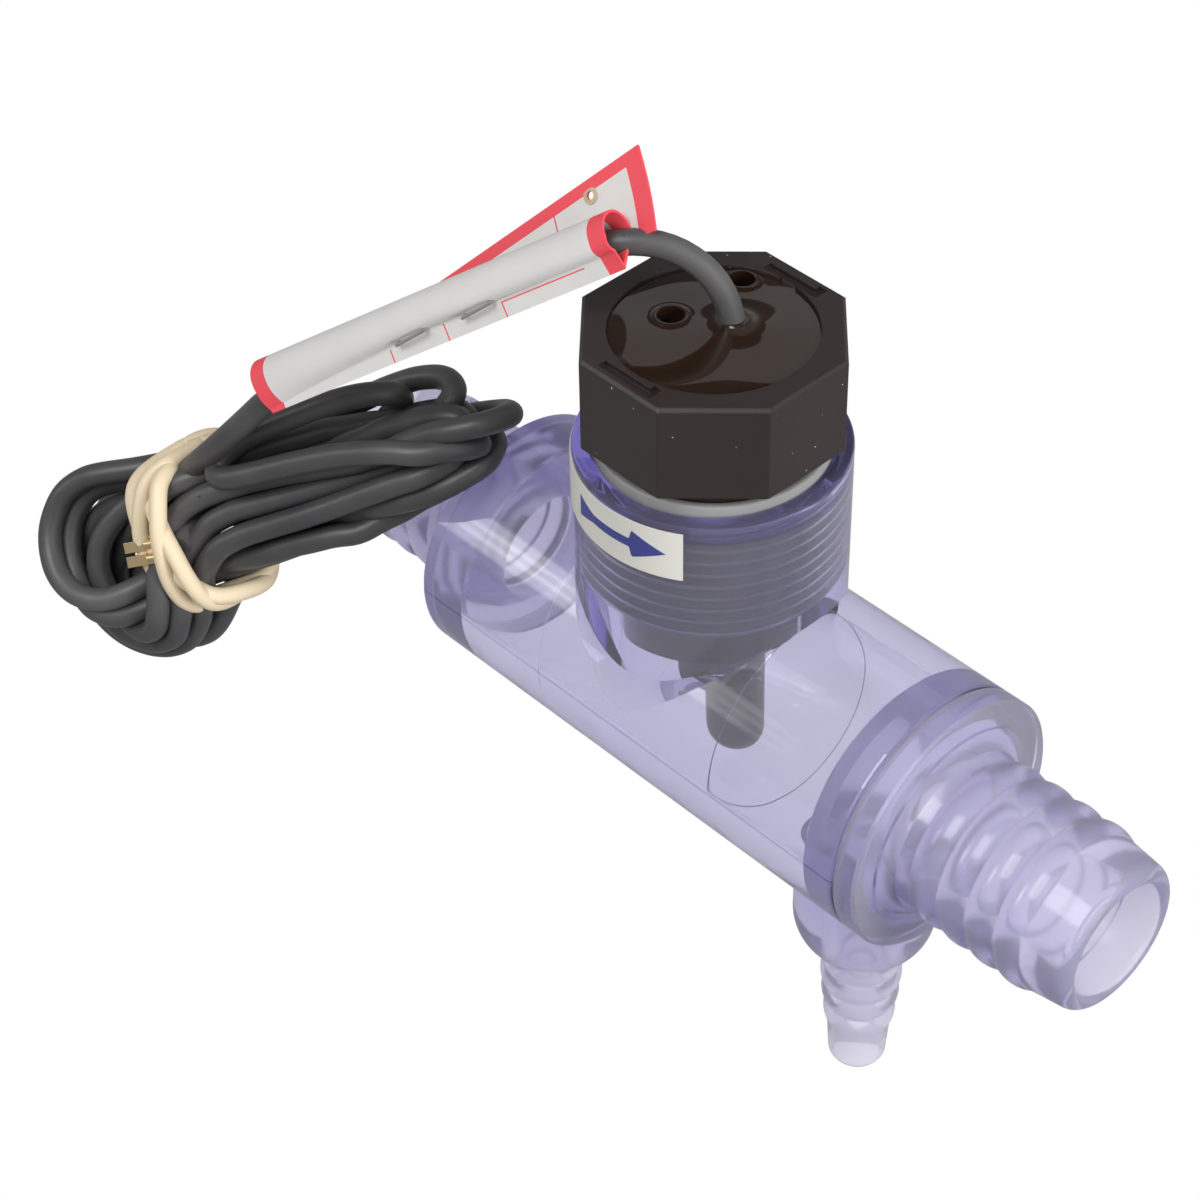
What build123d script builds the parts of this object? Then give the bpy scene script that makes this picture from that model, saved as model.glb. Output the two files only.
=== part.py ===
"""In-line paddle flow switch: a clear ribbed-barb tee, a screwed-in reed switch plug and its coiled lead.

The origin is where the run's axis meets the branch's axis. +X is the flow direction, +Z points up the
branch to the plug's head. All sizes are in millimetres.
"""
from build123d import *
import os
from math import cos, degrees, pi, radians, sin, tan

os.makedirs("parts", exist_ok=True)

# Tee: a straight run with a cement socket at each end, and a threaded branch
RUN_R = 16.6
RUN_START = -34.5
RUN_END = 36.0
RUN_WALL = 3.8
SOCKET_WALL = 3.2
SOCKET_STOP = 14.7
BRANCH_INSET = 0.2
BRANCH_TOP = 35.2
BRANCH_BORE_R = 11.0
MOUTH_DEPTH = 2.4
MOUTH_CHAMFER = 0.5

# Pipe thread between the branch and the plug: 14 turns an inch, 1 in 16 taper on the diameter
THREAD_PITCH = 25.4 / 14
THREAD_TURNS = 9
THREAD_DEPTH = 1.3
THREAD_CREST_R = 13.2
THREAD_TAPER = 1 / 32
THREAD_FLAT = 0.25
THREAD_CLEARANCE = 0.08

# Ribbed hose barbs, cemented into the two ends of the run
CEMENT_GAP = 0.05
SPIGOT_LENGTH = 5.9
OUTLET_FLANGE = 3.4
INLET_FLANGE = 0.0
HUB_R = 13.2
HUB_LENGTH = 1.0
BARB_NECK_R = 10.2
BARB_NECK_LENGTH = 1.6
BARB_BORE_R = 7.34
RIB_PITCH = 4.2
RIB_COUNT = 4
RIB_HEIGHT = 0.6
NOSE_LENGTH = 5.9
NOSE_TAPER = 0.55
NOSE_TIP_R = 8.1
NOSE_ROUND = 1.5
NOSE_BULGE = 0.70
NOSE_DROP = 0.35

# Small drain barb under the run, on a domed saddle boss
DRAIN_X = 27.1
BOSS_R = 8.85
BOSS_STRAIGHT = 6.0
BOSS_DOME = 6.6
DOME_REACH = 0.80
DOME_DROP = 0.55
BOSS_FOOT_R = 4.85
BOSS_SPIGOT_R = 5.0
DRAIN_BORE_R = 2.9
DRAIN_RIB_PITCH = 3.6
DRAIN_RIB_HEIGHT = 0.34
DRAIN_VALLEYS = (4.85, 4.85, 4.72, 4.35, 4.02)
DRAIN_NOSE_LENGTH = 6.4
DRAIN_TIP_R = 3.3
DRAIN_ROUND = 1.2

# Plug: octagon head, neck, threaded shank and the two ears that carry the paddle
HEAD_SIDES = 8
HEAD_FLATS = 29.9
HEAD_LIFT = 3.2
HEAD_HEIGHT = 12.5
HEAD_EDGE = 0.4
NECK_R = 12.9
SHANK_R = 10.6
SHANK_BOTTOM = 11.5
CUP_R = 12.1
CUP_DEPTH = 9.5
WELL_R = 5.2
WELL_FLOOR = 1.5
KEY_LENGTH = 8.4
KEY_WIDTH = 1.3
KEY_DEPTH = 0.6
KEY_FOOT = 2.0
KEY_EDGE_GAP = 0.9

# Paddle, its magnet and its pivot pin
PIVOT_X = 5.0
PIVOT_Z = 6.5
PIN_R = 1.0
PIN_CLEARANCE = 0.05
EAR_GAP = 8.0
EAR_THICKNESS = 2.3
EAR_R = 3.8
EAR_CLEARANCE = 0.15
PADDLE_R = 3.6
PADDLE_TIP_GAP = 1.5
MAGNET_R = 2.1
MAGNET_LENGTH = 5.6
MAGNET_TOP_GAP = 0.7

# Reed switch, its leads and their splices, all set in the potting
GLASS_R = 1.3
GLASS_LENGTH = 14.0
GLASS_WALL = 0.35
GLASS_SEAL = 1.4
GLASS_ROUND = 0.6
GLASS_X = -1.2
GLASS_LIFT = 3.4
BLADE_WIDTH = 1.1
BLADE_THICKNESS = 0.25
BLADE_OVERLAP = 1.6
BLADE_GAP = 0.2
LEAD_R = 0.28
RETURN_X = 2.4
RETURN_DROP = 1.6
SPLICE_LIFT = 2.6
SPLICE_LENGTH = 4.0
SLEEVE_R = 1.05
SLEEVE_OVERHANG = 1.6
CORE_R = 0.65
CONDUCTOR_R = 0.32
CORE_SPREAD = 0.72

# Potting in the cup, with its two blind holes
POTTING_DROP = 0.4
POTTING_CROWN = 0.5
CROWN_MID = 0.75
VENT_R = 1.6
VENT_DEPTH = 4.0
VENTS = ((-4.9, -1.9), (-4.3, 8.8))

# Sealing ring at the branch's mouth
RING_GAP = 0.05
RING_WIDTH = 1.1
RING_HEIGHT = 3.5

# Flow label, round the branch
LABEL_START = -56.5
LABEL_LENGTH = 27.0
LABEL_HEIGHT = 6.8
LABEL_DROP = 1.1
LABEL_THICKNESS = 0.15
LABEL_STICK = 0.01

# Lead: a two-core round cable. Its route runs from the potting to the hank
CABLE_R = 1.55
CABLE_ROUTE = (
    (1.5, 2.2, 44.5),
    (1.5, 2.2, 50.0),
    (-0.7, 1.4, 56.8),
    (-5.3, -2.3, 61.1),
    (-10.5, -7.5, 61.0),
    (-17.0, -11.4, 55.7),
    (-30.2, -16.4, 45.1),
    (-47.8, -24.6, 30.5),
    (-55.6, -28.3, 19.8),
    (-68.9, -30.1, 4.2),
)

# Hank: the rest of the lead in long loops, as centre, half height and half thickness along its axis
HANK_RIGHT = (-29.0, -5.2, 24.8)
HANK_LEFT = (-82.9, -40.1, -5.9)
HANK_SIDE = (-0.272, 0.837, -0.475)
HANK_SECTIONS = (
    (0.00, 0.3, 3.2, 2.2),
    (0.10, 0.8, 7.0, 4.4),
    (0.30, -0.4, 9.0, 5.6),
    (0.52, -1.3, 9.4, 6.0),
    (0.65, -2.6, 9.6, 6.0),
    (0.75, -6.0, 13.4, 6.6),
    (0.86, -4.9, 12.4, 6.6),
    (0.95, -3.4, 10.2, 5.4),
    (1.03, -2.0, 4.6, 2.8),
)

# Rubber band round the hank, its front half leaning along the hank
BAND_AT = 0.67
BAND_TILT = -25.0
BAND_WIDTH = 6.0
BAND_TALL = 11.2
BAND_THICK = 9.4

# Paper tag: a sleeve round the cable with a fold under it, and a flap behind that tapers away
TAG_TOP = (-8.0, -6.7, 62.4)
TAG_BOTTOM = (-50.4, -25.8, 28.9)
TAG_FRONT = (0.55, -0.50, 0.67)
TAG_PAPER = 0.35
TAG_DEPTH = 2.6
TAG_SHOULDER = 0.5
TAG_CREST = 3.3
TAG_FOLD = (0.7, -3.5)
FLAP_START = -3.3
FLAP_END = 47.9
FLAP_RISE = 9.4
FLAP_LEAN = 10.0

# Two wire staples through the tag's front
STAPLE_R = 0.22
STAPLE_WIDTH = 5.0
STAPLE_LEG = 0.5
STAPLE_TURN = 5.0
STAPLE_AT = (21.0, 31.7)

# Free end of the lead: two cores with crimped contacts, beside the band
END_START = (-60.6, -35.1, 2.4)
END_AIM = (-65.3, -39.0, 0.5)
END_SPREAD = 0.92
END_CORE_LENGTH = 4.2
CONTACT_LENGTH = 5.4
CONTACT_BOX = 1.4
CONTACT_WALL = 0.25
CRIMP_R = 0.82
CRIMP_LENGTH = 2.4


# Sizes and levels that follow from the sizes above
RUN_BORE_R = RUN_R - RUN_WALL
SOCKET_R = RUN_R - SOCKET_WALL
BRANCH_R = RUN_R - BRANCH_INSET
MOUTH_R = NECK_R + RING_WIDTH + 2 * RING_GAP
PADDLE_TIP_Z = -(RUN_BORE_R - PADDLE_TIP_GAP)
THREAD_TOP = BRANCH_TOP - MOUTH_DEPTH
THREAD_BOTTOM = THREAD_TOP - THREAD_TURNS * THREAD_PITCH
HEAD_BOTTOM = BRANCH_TOP + HEAD_LIFT
HEAD_TOP = HEAD_BOTTOM + HEAD_HEIGHT
CUP_BOTTOM = HEAD_TOP - CUP_DEPTH
WELL_BOTTOM = SHANK_BOTTOM + WELL_FLOOR
GLASS_BOTTOM = WELL_BOTTOM + GLASS_LIFT
GLASS_TOP = GLASS_BOTTOM + GLASS_LENGTH
SPLICE_BOTTOM = GLASS_TOP + SPLICE_LIFT
POTTING_LEVEL = HEAD_TOP - POTTING_DROP
BOSS_BOTTOM = -(RUN_R + BOSS_STRAIGHT + BOSS_DOME)


def save(part, node):
    """Writes one sub-part to its STEP file, under the node's name."""
    export_step(part, f"parts/{node}.step")


def cylinder_x(radius, start, end):
    """A cylinder on the X axis between two x values."""
    return Plane.YZ.offset(start) * extrude(Circle(radius), end - start)


def cylinder_z(radius, bottom, top, x=0.0, y=0.0):
    """An upright cylinder between two levels."""
    return Pos(x, y, bottom) * extrude(Circle(radius), top - bottom)


def turned(points, axis=Axis.Z, plane=Plane.XZ):
    """A solid of revolution of the closed outline through (radius, height) points."""
    outline = Polyline([*points, points[0]])
    return revolve(plane * make_face(outline), axis)


def thread_flanks(clearance):
    """The thread's (radius, height) points from its bottom to its top, with a clearance outward."""
    points = []
    flank = (THREAD_PITCH - 2 * THREAD_FLAT) / 2
    for turn in range(THREAD_TURNS):
        base = THREAD_BOTTOM + turn * THREAD_PITCH
        for rise, cut in ((0.0, THREAD_DEPTH), (THREAD_FLAT, THREAD_DEPTH),
                          (THREAD_FLAT + flank, 0.0), (2 * THREAD_FLAT + flank, 0.0)):
            level = base + rise
            crest = THREAD_CREST_R - (THREAD_TOP - level) * THREAD_TAPER
            points.append((crest - cut + clearance, level))
    return points


def rib_edges(valleys, start, pitch, height):
    """Rounded ribs between valley radii, as arcs in the (radius, length) plane."""
    edges = []
    for place, (near, far) in enumerate(zip(valleys, valleys[1:])):
        low = start + place * pitch
        crest = (near + far) / 2 + height
        edges.append(ThreePointArc((near, low), (crest, low + pitch / 2), (far, low + pitch)))
    return edges


# Tee
def tee_body():
    """The clear run and branch in one moulding, bored, socketed, tapped and drilled for the drain."""
    body = cylinder_x(RUN_R, RUN_START, RUN_END) + cylinder_z(BRANCH_R, 0, BRANCH_TOP)
    body -= cylinder_x(RUN_BORE_R, RUN_START, RUN_END)
    body -= cylinder_x(SOCKET_R, RUN_START, -SOCKET_STOP)
    body -= cylinder_x(SOCKET_R, SOCKET_STOP, RUN_END)
    tapped = [(0, 0), (BRANCH_BORE_R, 0), (BRANCH_BORE_R, THREAD_BOTTOM)]
    tapped += thread_flanks(THREAD_CLEARANCE)
    tapped += [(MOUTH_R, THREAD_TOP), (MOUTH_R, BRANCH_TOP - MOUTH_CHAMFER)]
    tapped += [(MOUTH_R + MOUTH_CHAMFER, BRANCH_TOP), (0, BRANCH_TOP)]
    body -= turned(tapped)
    return body - cylinder_z(BOSS_SPIGOT_R + CEMENT_GAP, -RUN_R, 0, DRAIN_X)


def hose_barb(end, flange):
    """A barb pointing to +X, cemented in a run that ends at an x value, with a flange of a given length."""
    face = end + flange
    ribs_start = face + HUB_LENGTH + BARB_NECK_LENGTH
    rib_end = ribs_start + RIB_COUNT * RIB_PITCH
    barb_tip = rib_end + NOSE_LENGTH
    nose_r = BARB_NECK_R - NOSE_TAPER
    shoulder = barb_tip - NOSE_ROUND
    spigot_r = SOCKET_R - CEMENT_GAP
    start = end - SPIGOT_LENGTH
    outside = [(BARB_BORE_R, barb_tip), (BARB_BORE_R, start), (spigot_r, start), (spigot_r, end)]
    if flange > 0:
        outside += [(RUN_R, end), (RUN_R, face)]
    outside += [(HUB_R, face), (HUB_R, face + HUB_LENGTH / 2), (BARB_NECK_R, face + HUB_LENGTH),
                (BARB_NECK_R, ribs_start)]
    front = Polyline(*outside)
    ribs = rib_edges((BARB_NECK_R,) * (RIB_COUNT + 1), ribs_start, RIB_PITCH, RIB_HEIGHT)
    nose = Line((BARB_NECK_R, rib_end), (nose_r, shoulder))
    tip = nose_round(nose_r, NOSE_TIP_R, shoulder, barb_tip)
    rim = Line((NOSE_TIP_R, barb_tip), (BARB_BORE_R, barb_tip))
    edges = [*front.edges(), *[rib.edge() for rib in ribs], nose.edge(), tip.edge(), rim.edge()]
    outline = make_face(edges)
    lathe = Plane(origin=(0, 0, 0), x_dir=(0, 0, 1), z_dir=(0, 1, 0))
    return revolve(lathe * outline, Axis.X)


def nose_round(wide, narrow, shoulder, tip):
    """The rounded end of a barb's nose, from its wide shoulder to its narrow tip."""
    middle_r = narrow + (wide - narrow) * NOSE_BULGE
    middle = tip - (tip - shoulder) * NOSE_DROP
    return ThreePointArc((wide, shoulder), (middle_r, middle), (narrow, tip))


def drain_barb():
    """The small barb: a saddle boss against the run, a spigot through its wall, ribs and a nose."""
    foot = -BOSS_BOTTOM
    last = foot + (len(DRAIN_VALLEYS) - 1) * DRAIN_RIB_PITCH
    tip_level = last + DRAIN_NOSE_LENGTH
    shoulder = tip_level - DRAIN_ROUND
    shoulder_r = DRAIN_VALLEYS[-1] - DRAIN_RIB_HEIGHT
    straight = RUN_R + BOSS_STRAIGHT
    crown = Polyline((DRAIN_BORE_R, tip_level), (DRAIN_BORE_R, 0), (BOSS_R, 0), (BOSS_R, straight))
    dome = ThreePointArc(
        (BOSS_R, straight),
        (BOSS_FOOT_R + (BOSS_R - BOSS_FOOT_R) * DOME_REACH, straight + BOSS_DOME * DOME_DROP),
        (BOSS_FOOT_R, foot))
    ribs = rib_edges(DRAIN_VALLEYS, foot, DRAIN_RIB_PITCH, DRAIN_RIB_HEIGHT)
    nose = Line((DRAIN_VALLEYS[-1], last), (shoulder_r, shoulder))
    tip = nose_round(shoulder_r, DRAIN_TIP_R, shoulder, tip_level)
    rim = Line((DRAIN_TIP_R, tip_level), (DRAIN_BORE_R, tip_level))
    edges = [*crown.edges(), dome.edge(), *[rib.edge() for rib in ribs], nose.edge(), tip.edge(), rim.edge()]
    outline = make_face(edges)
    barb = Pos(DRAIN_X, 0, 0) * Rot(180, 0, 0) * revolve(Plane.XZ * outline, Axis.Z)
    saddle = barb - cylinder_x(RUN_R, RUN_START, RUN_END)
    neck = [cylinder_z(radius, -RUN_R - BOSS_STRAIGHT, 0, DRAIN_X) for radius in (BOSS_SPIGOT_R, DRAIN_BORE_R)]
    spigot = (neck[0] - neck[1] - cylinder_x(SOCKET_R, RUN_START, RUN_END)) & cylinder_x(
        RUN_R + CEMENT_GAP, RUN_START, RUN_END)
    return saddle + spigot


# Plug
def key_marks():
    """Two equal L-shaped recesses in the head's top, along its -Y and +Y flats."""
    reach = HEAD_FLATS / 2 - KEY_EDGE_GAP
    near = -reach + KEY_WIDTH / 2
    marks = []
    for y in (near, reach - KEY_FOOT + KEY_WIDTH / 2):
        bar = Pos(0, y, HEAD_TOP) * Box(KEY_LENGTH, KEY_WIDTH, 2 * KEY_DEPTH)
        foot_y = y + (KEY_FOOT - KEY_WIDTH) / 2
        foot = Pos((KEY_LENGTH - KEY_WIDTH) / 2, foot_y, HEAD_TOP) * Box(KEY_WIDTH, KEY_FOOT, 2 * KEY_DEPTH)
        marks.append(bar + foot)
    return marks


def plug_body():
    """The moulded plug: octagon head with a potting cup, neck, threaded shank, well and paddle ears."""
    corner_r = HEAD_FLATS / 2 / cos(pi / HEAD_SIDES)
    octagon = Rot(0, 0, 180 / HEAD_SIDES) * RegularPolygon(corner_r, HEAD_SIDES)
    head = Pos(0, 0, HEAD_BOTTOM) * extrude(octagon, HEAD_HEIGHT)
    head = chamfer(head.faces().sort_by(Axis.Z)[-1].edges(), HEAD_EDGE)
    shank = [(0, SHANK_BOTTOM), (SHANK_R, SHANK_BOTTOM), (SHANK_R, THREAD_BOTTOM)]
    shank += thread_flanks(0)
    shank += [(NECK_R, THREAD_TOP), (NECK_R, HEAD_BOTTOM), (0, HEAD_BOTTOM)]
    body = head + turned(shank) + ears()
    body -= cylinder_z(CUP_R, CUP_BOTTOM, HEAD_TOP)
    body -= cylinder_z(WELL_R, WELL_BOTTOM, CUP_BOTTOM)
    for mark in key_marks():
        body -= mark
    return body


def ears():
    """Two ears under the shank, either side of the paddle's eye, bored for its pin."""
    rounded = Pos(PIVOT_X, 0, PIVOT_Z) * Rot(90, 0, 0) * Cylinder(EAR_R, EAR_GAP + 2 * EAR_THICKNESS)
    block_height = SHANK_BOTTOM - PIVOT_Z
    block = Pos(PIVOT_X, 0, PIVOT_Z + block_height / 2) * Box(
        2 * EAR_R, EAR_GAP + 2 * EAR_THICKNESS, block_height)
    gap = Pos(PIVOT_X, 0, PIVOT_Z) * Box(4 * EAR_R, EAR_GAP, 2 * block_height)
    pair = (rounded + block - gap) & cylinder_z(SHANK_R, -SHANK_BOTTOM, SHANK_BOTTOM)
    return pair - Pos(PIVOT_X, 0, PIVOT_Z) * Rot(90, 0, 0) * Cylinder(PIN_R, 4 * SHANK_R)


def sealing_ring():
    """The flat ring that lies in the branch's mouth, round the plug's neck."""
    inner_r = NECK_R + RING_GAP
    outer = cylinder_z(inner_r + RING_WIDTH, THREAD_TOP, THREAD_TOP + RING_HEIGHT)
    return outer - cylinder_z(inner_r, THREAD_TOP, THREAD_TOP + RING_HEIGHT)


# Paddle
def paddle_magnet():
    """The round bar magnet, upright in the paddle under its pivot."""
    top = PIVOT_Z - PIN_R - PIN_CLEARANCE - MAGNET_TOP_GAP
    return cylinder_z(MAGNET_R, top - MAGNET_LENGTH, top, PIVOT_X)


def paddle():
    """The round-ended paddle with the barrel of its pivot across its top, moulded round the magnet."""
    barrel_length = EAR_GAP - 2 * EAR_CLEARANCE
    ball_z = PADDLE_TIP_Z + PADDLE_R
    body = cylinder_z(PADDLE_R, ball_z, PIVOT_Z, PIVOT_X)
    body += Pos(PIVOT_X, 0, ball_z) * Sphere(PADDLE_R)
    body += Pos(PIVOT_X, 0, PIVOT_Z) * Rot(90, 0, 0) * Cylinder(PADDLE_R, barrel_length)
    body -= Pos(PIVOT_X, 0, PIVOT_Z) * Rot(90, 0, 0) * Cylinder(PIN_R + PIN_CLEARANCE, 2 * EAR_GAP)
    return body - paddle_magnet()


def pivot_pin():
    """The pin through both ears, flush with the shank's round."""
    pin = Pos(PIVOT_X, 0, PIVOT_Z) * Rot(90, 0, 0) * Cylinder(PIN_R, 4 * SHANK_R)
    return pin & cylinder_z(SHANK_R, SHANK_BOTTOM - 2 * SHANK_R, SHANK_BOTTOM)


# Reed switch
def reed_glass():
    """The sealed glass tube round the two contact blades."""
    body = cylinder_z(GLASS_R, GLASS_BOTTOM, GLASS_TOP, GLASS_X)
    body = fillet(body.edges().filter_by(GeomType.CIRCLE), GLASS_ROUND)
    hollow = cylinder_z(GLASS_R - GLASS_WALL, GLASS_BOTTOM + GLASS_SEAL, GLASS_TOP - GLASS_SEAL, GLASS_X)
    body -= hollow
    return body - cylinder_z(LEAD_R, GLASS_BOTTOM, GLASS_TOP, GLASS_X)


def reed_blades():
    """Two leads flattened into overlapping blades; the lower lead turns back up beside the glass."""
    middle = (GLASS_BOTTOM + GLASS_TOP) / 2
    blade_bottom = GLASS_BOTTOM + GLASS_SEAL
    reach = middle + BLADE_OVERLAP / 2 - blade_bottom
    offset = (BLADE_GAP + BLADE_THICKNESS) / 2
    lower = Pos(GLASS_X - offset, 0, blade_bottom + reach / 2) * Box(BLADE_THICKNESS, BLADE_WIDTH, reach)
    upper = Pos(GLASS_X + offset, 0, GLASS_TOP - GLASS_SEAL - reach / 2) * Box(
        BLADE_THICKNESS, BLADE_WIDTH, reach)
    lower += lead([(GLASS_X, blade_bottom), (GLASS_X, GLASS_BOTTOM - RETURN_DROP),
                   (RETURN_X, GLASS_BOTTOM - RETURN_DROP), (RETURN_X, SPLICE_BOTTOM + SPLICE_LENGTH / 2)])
    upper += cylinder_z(LEAD_R, GLASS_TOP - GLASS_SEAL, SPLICE_BOTTOM + SPLICE_LENGTH / 2, GLASS_X)
    return lower, upper


def lead(points):
    """A round wire lead through (x, z) points, with its corners bent round."""
    path = FilletPolyline(*[(x, 0, z) for x, z in points], radius=4 * LEAD_R)
    start = Plane(origin=path @ 0, z_dir=path % 0)
    return sweep(start * Circle(LEAD_R), path)


def splices():
    """The soldered joint between each lead and its core's bare conductor."""
    joints = []
    middle = SPLICE_BOTTOM + SPLICE_LENGTH / 2
    for x in (GLASS_X, RETURN_X):
        joint = cylinder_z(CORE_R, SPLICE_BOTTOM, SPLICE_BOTTOM + SPLICE_LENGTH, x)
        joint -= cylinder_z(LEAD_R, SPLICE_BOTTOM, middle, x)
        joints.append(joint - cylinder_z(CONDUCTOR_R, middle, SPLICE_BOTTOM + SPLICE_LENGTH, x))
    return joints


def sleeve_blanks():
    """The outer shape of the shrunk sleeve over each splice."""
    low = SPLICE_BOTTOM - SLEEVE_OVERHANG
    high = SPLICE_BOTTOM + SPLICE_LENGTH + SLEEVE_OVERHANG
    return [cylinder_z(SLEEVE_R, low, high, x) for x in (GLASS_X, RETURN_X)]


def splice_sleeves():
    """Shrunk sleeving over each splice, gripping the lead below it and the core above it."""
    low = SPLICE_BOTTOM - SLEEVE_OVERHANG
    high = SPLICE_BOTTOM + SPLICE_LENGTH + SLEEVE_OVERHANG
    sleeves = []
    for x, blank in zip((GLASS_X, RETURN_X), sleeve_blanks()):
        sleeve = blank - cylinder_z(LEAD_R, low, SPLICE_BOTTOM, x)
        sleeves.append(sleeve - cylinder_z(CORE_R, SPLICE_BOTTOM, high, x))
    return sleeves


def core_lines():
    """The two cores' centre lines inside the potting, from the splices up to the cable's jacket."""
    foot = Vector(*CABLE_ROUTE[0])
    bottom = SPLICE_BOTTOM + SPLICE_LENGTH
    step = (foot.Z - bottom) / 3
    lines = []
    for x, side in ((GLASS_X, -1), (RETURN_X, 1)):
        entry = foot + Vector(side * CORE_SPREAD, 0, 0)
        points = [(x, 0, bottom), (x, 0, bottom + step), (entry.X, entry.Y, foot.Z - step),
                  (entry.X, entry.Y, foot.Z)]
        lines.append(FilletPolyline(*points, radius=2 * CORE_R))
    return lines


def along_core(line, section):
    """A section swept along one core's centre line."""
    return sweep(Plane(origin=line @ 0, z_dir=line % 0) * section, line)


def cable_cores():
    """The insulated ends of the cable's two cores, inside the potting, each with its bore for copper."""
    return [along_core(line, Circle(CORE_R) - Circle(CONDUCTOR_R)) for line in core_lines()]


def core_conductors():
    """The copper inside each core, standing out of its insulation into the splice."""
    wires = []
    for line in core_lines():
        foot = line @ 0
        bare = cylinder_z(CONDUCTOR_R, foot.Z - SPLICE_LENGTH / 2, foot.Z, foot.X, foot.Y)
        wires.append(along_core(line, Circle(CONDUCTOR_R)) + bare)
    return wires


def buried_pieces(leads, jacket):
    """Everything the potting closes round, as filled shapes."""
    glass = cylinder_z(GLASS_R, GLASS_BOTTOM, GLASS_TOP, GLASS_X)
    glass = fillet(glass.edges().filter_by(GeomType.CIRCLE), GLASS_ROUND)
    cores = [along_core(line, Circle(CORE_R)) for line in core_lines()]
    return [glass, *leads, *sleeve_blanks(), *cores, jacket]


def potting_compound(buried):
    """The resin that fills the well and cup round the buried parts, crowned on top, with two blind holes."""
    crown = POTTING_LEVEL + POTTING_CROWN
    sides = Polyline((0, crown), (0, WELL_BOTTOM), (WELL_R, WELL_BOTTOM), (WELL_R, CUP_BOTTOM),
                     (CUP_R, CUP_BOTTOM), (CUP_R, POTTING_LEVEL))
    top = ThreePointArc((CUP_R, POTTING_LEVEL), (CUP_R / 2, POTTING_LEVEL + POTTING_CROWN * CROWN_MID),
                        (0, crown))
    resin = revolve(Plane.XZ * make_face([*sides.edges(), top.edge()]), Axis.Z)
    for x, y in VENTS:
        resin -= cylinder_z(VENT_R, POTTING_LEVEL - VENT_DEPTH, HEAD_TOP, x, y)
    for piece in buried:
        resin -= piece
    return resin


# Label on the branch
def flow_label():
    """The label stuck round the branch's front, with its end towards the outlet."""
    inner = BRANCH_R + LABEL_STICK
    top = BRANCH_TOP - LABEL_DROP
    base = top - LABEL_HEIGHT
    turn = degrees(LABEL_LENGTH / BRANCH_R)
    reach = 2 * BRANCH_R
    sides = Polyline((reach, 0), (0, 0), (reach * cos(radians(turn)), reach * sin(radians(turn))))
    wedge = make_face([*sides.edges(), CenterArc((0, 0), reach, 0, turn).edge()])
    band = cylinder_z(inner + LABEL_THICKNESS, base, top) - cylinder_z(inner, base, top)
    return band & Pos(0, 0, base) * Rot(0, 0, LABEL_START - turn) * extrude(wedge, LABEL_HEIGHT)


# Cable and what is on it
def corner_radii(points):
    """For each corner of a route, 0.45 of its shorter run over the tangent of half its turn."""
    radii = []
    for before, here, after in zip(points, points[1:], points[2:]):
        first = Vector(*here) - Vector(*before)
        second = Vector(*after) - Vector(*here)
        turn = radians(first.get_angle(second))
        radii.append(0.45 * min(first.length, second.length) / tan(turn / 2))
    return radii


def cable_path():
    """The lead's centre line from the potting to the hank, as straight runs and tangent arcs."""
    return FilletPolyline(*CABLE_ROUTE, radius=corner_radii(CABLE_ROUTE))


def cable():
    """The lead's round jacket along its route."""
    path = cable_path()
    start = Plane(origin=path @ 0, z_dir=path % 0)
    return sweep(start * Circle(CABLE_R), path)


def hank_plane(share, lift=0.0):
    """The plane across the hank at a share of its length, its local X pointing up across the loops."""
    right, left = Vector(*HANK_RIGHT), Vector(*HANK_LEFT)
    along = (left - right).normalized()
    rise = Vector(*HANK_SIDE).cross(along).normalized()
    if rise.Z < 0:
        rise = rise * -1
    return Plane(origin=right + (left - right) * share + rise * lift, x_dir=rise, z_dir=along)


def cable_hank():
    """The outer shape of the lead's long loops."""
    sections = [hank_plane(share, lift) * Ellipse(tall, thick) for share, lift, tall, thick in HANK_SECTIONS]
    return loft(sections, ruled=True)


def hank_size(share):
    """The hank's offset, half height and half thickness at a share of its length."""
    for (low, *near), (high, *far) in zip(HANK_SECTIONS, HANK_SECTIONS[1:]):
        if low <= share <= high:
            mix = (share - low) / (high - low)
            return [a + (b - a) * mix for a, b in zip(near, far)]
    raise ValueError("the share lies off the hank")


def rubber_band(hank):
    """The rubber band round the hank's waist, pulled in to its surface."""
    lift = hank_size(BAND_AT)[0]
    ring = Rot(BAND_TILT, 0, 0) * extrude(Ellipse(BAND_TALL, BAND_THICK), BAND_WIDTH / 2, both=True)
    return hank_plane(BAND_AT, lift) * ring - hank


def tag_plane():
    """The plane across the tag's upper end: local X to the front, local Y up, local Z down the cable."""
    top, bottom = Vector(*TAG_TOP), Vector(*TAG_BOTTOM)
    along = (bottom - top).normalized()
    down = Vector(*TAG_FRONT).cross(along).normalized()
    return Plane(origin=top, x_dir=along.cross(down), z_dir=along)


def tag_section(inset):
    """The sleeve's outline across the cable, set in by a distance: round on top, folded sharp below."""
    depth = TAG_DEPTH - inset
    fold_x, fold_y = TAG_FOLD
    crest = ThreePointArc((depth, TAG_SHOULDER), (0, TAG_CREST - inset), (-depth, TAG_SHOULDER))
    sides = Polyline((-depth, TAG_SHOULDER), (fold_x, fold_y + 2 * inset), (depth, TAG_SHOULDER))
    return make_face([crest.edge(), *sides.edges()])


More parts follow.
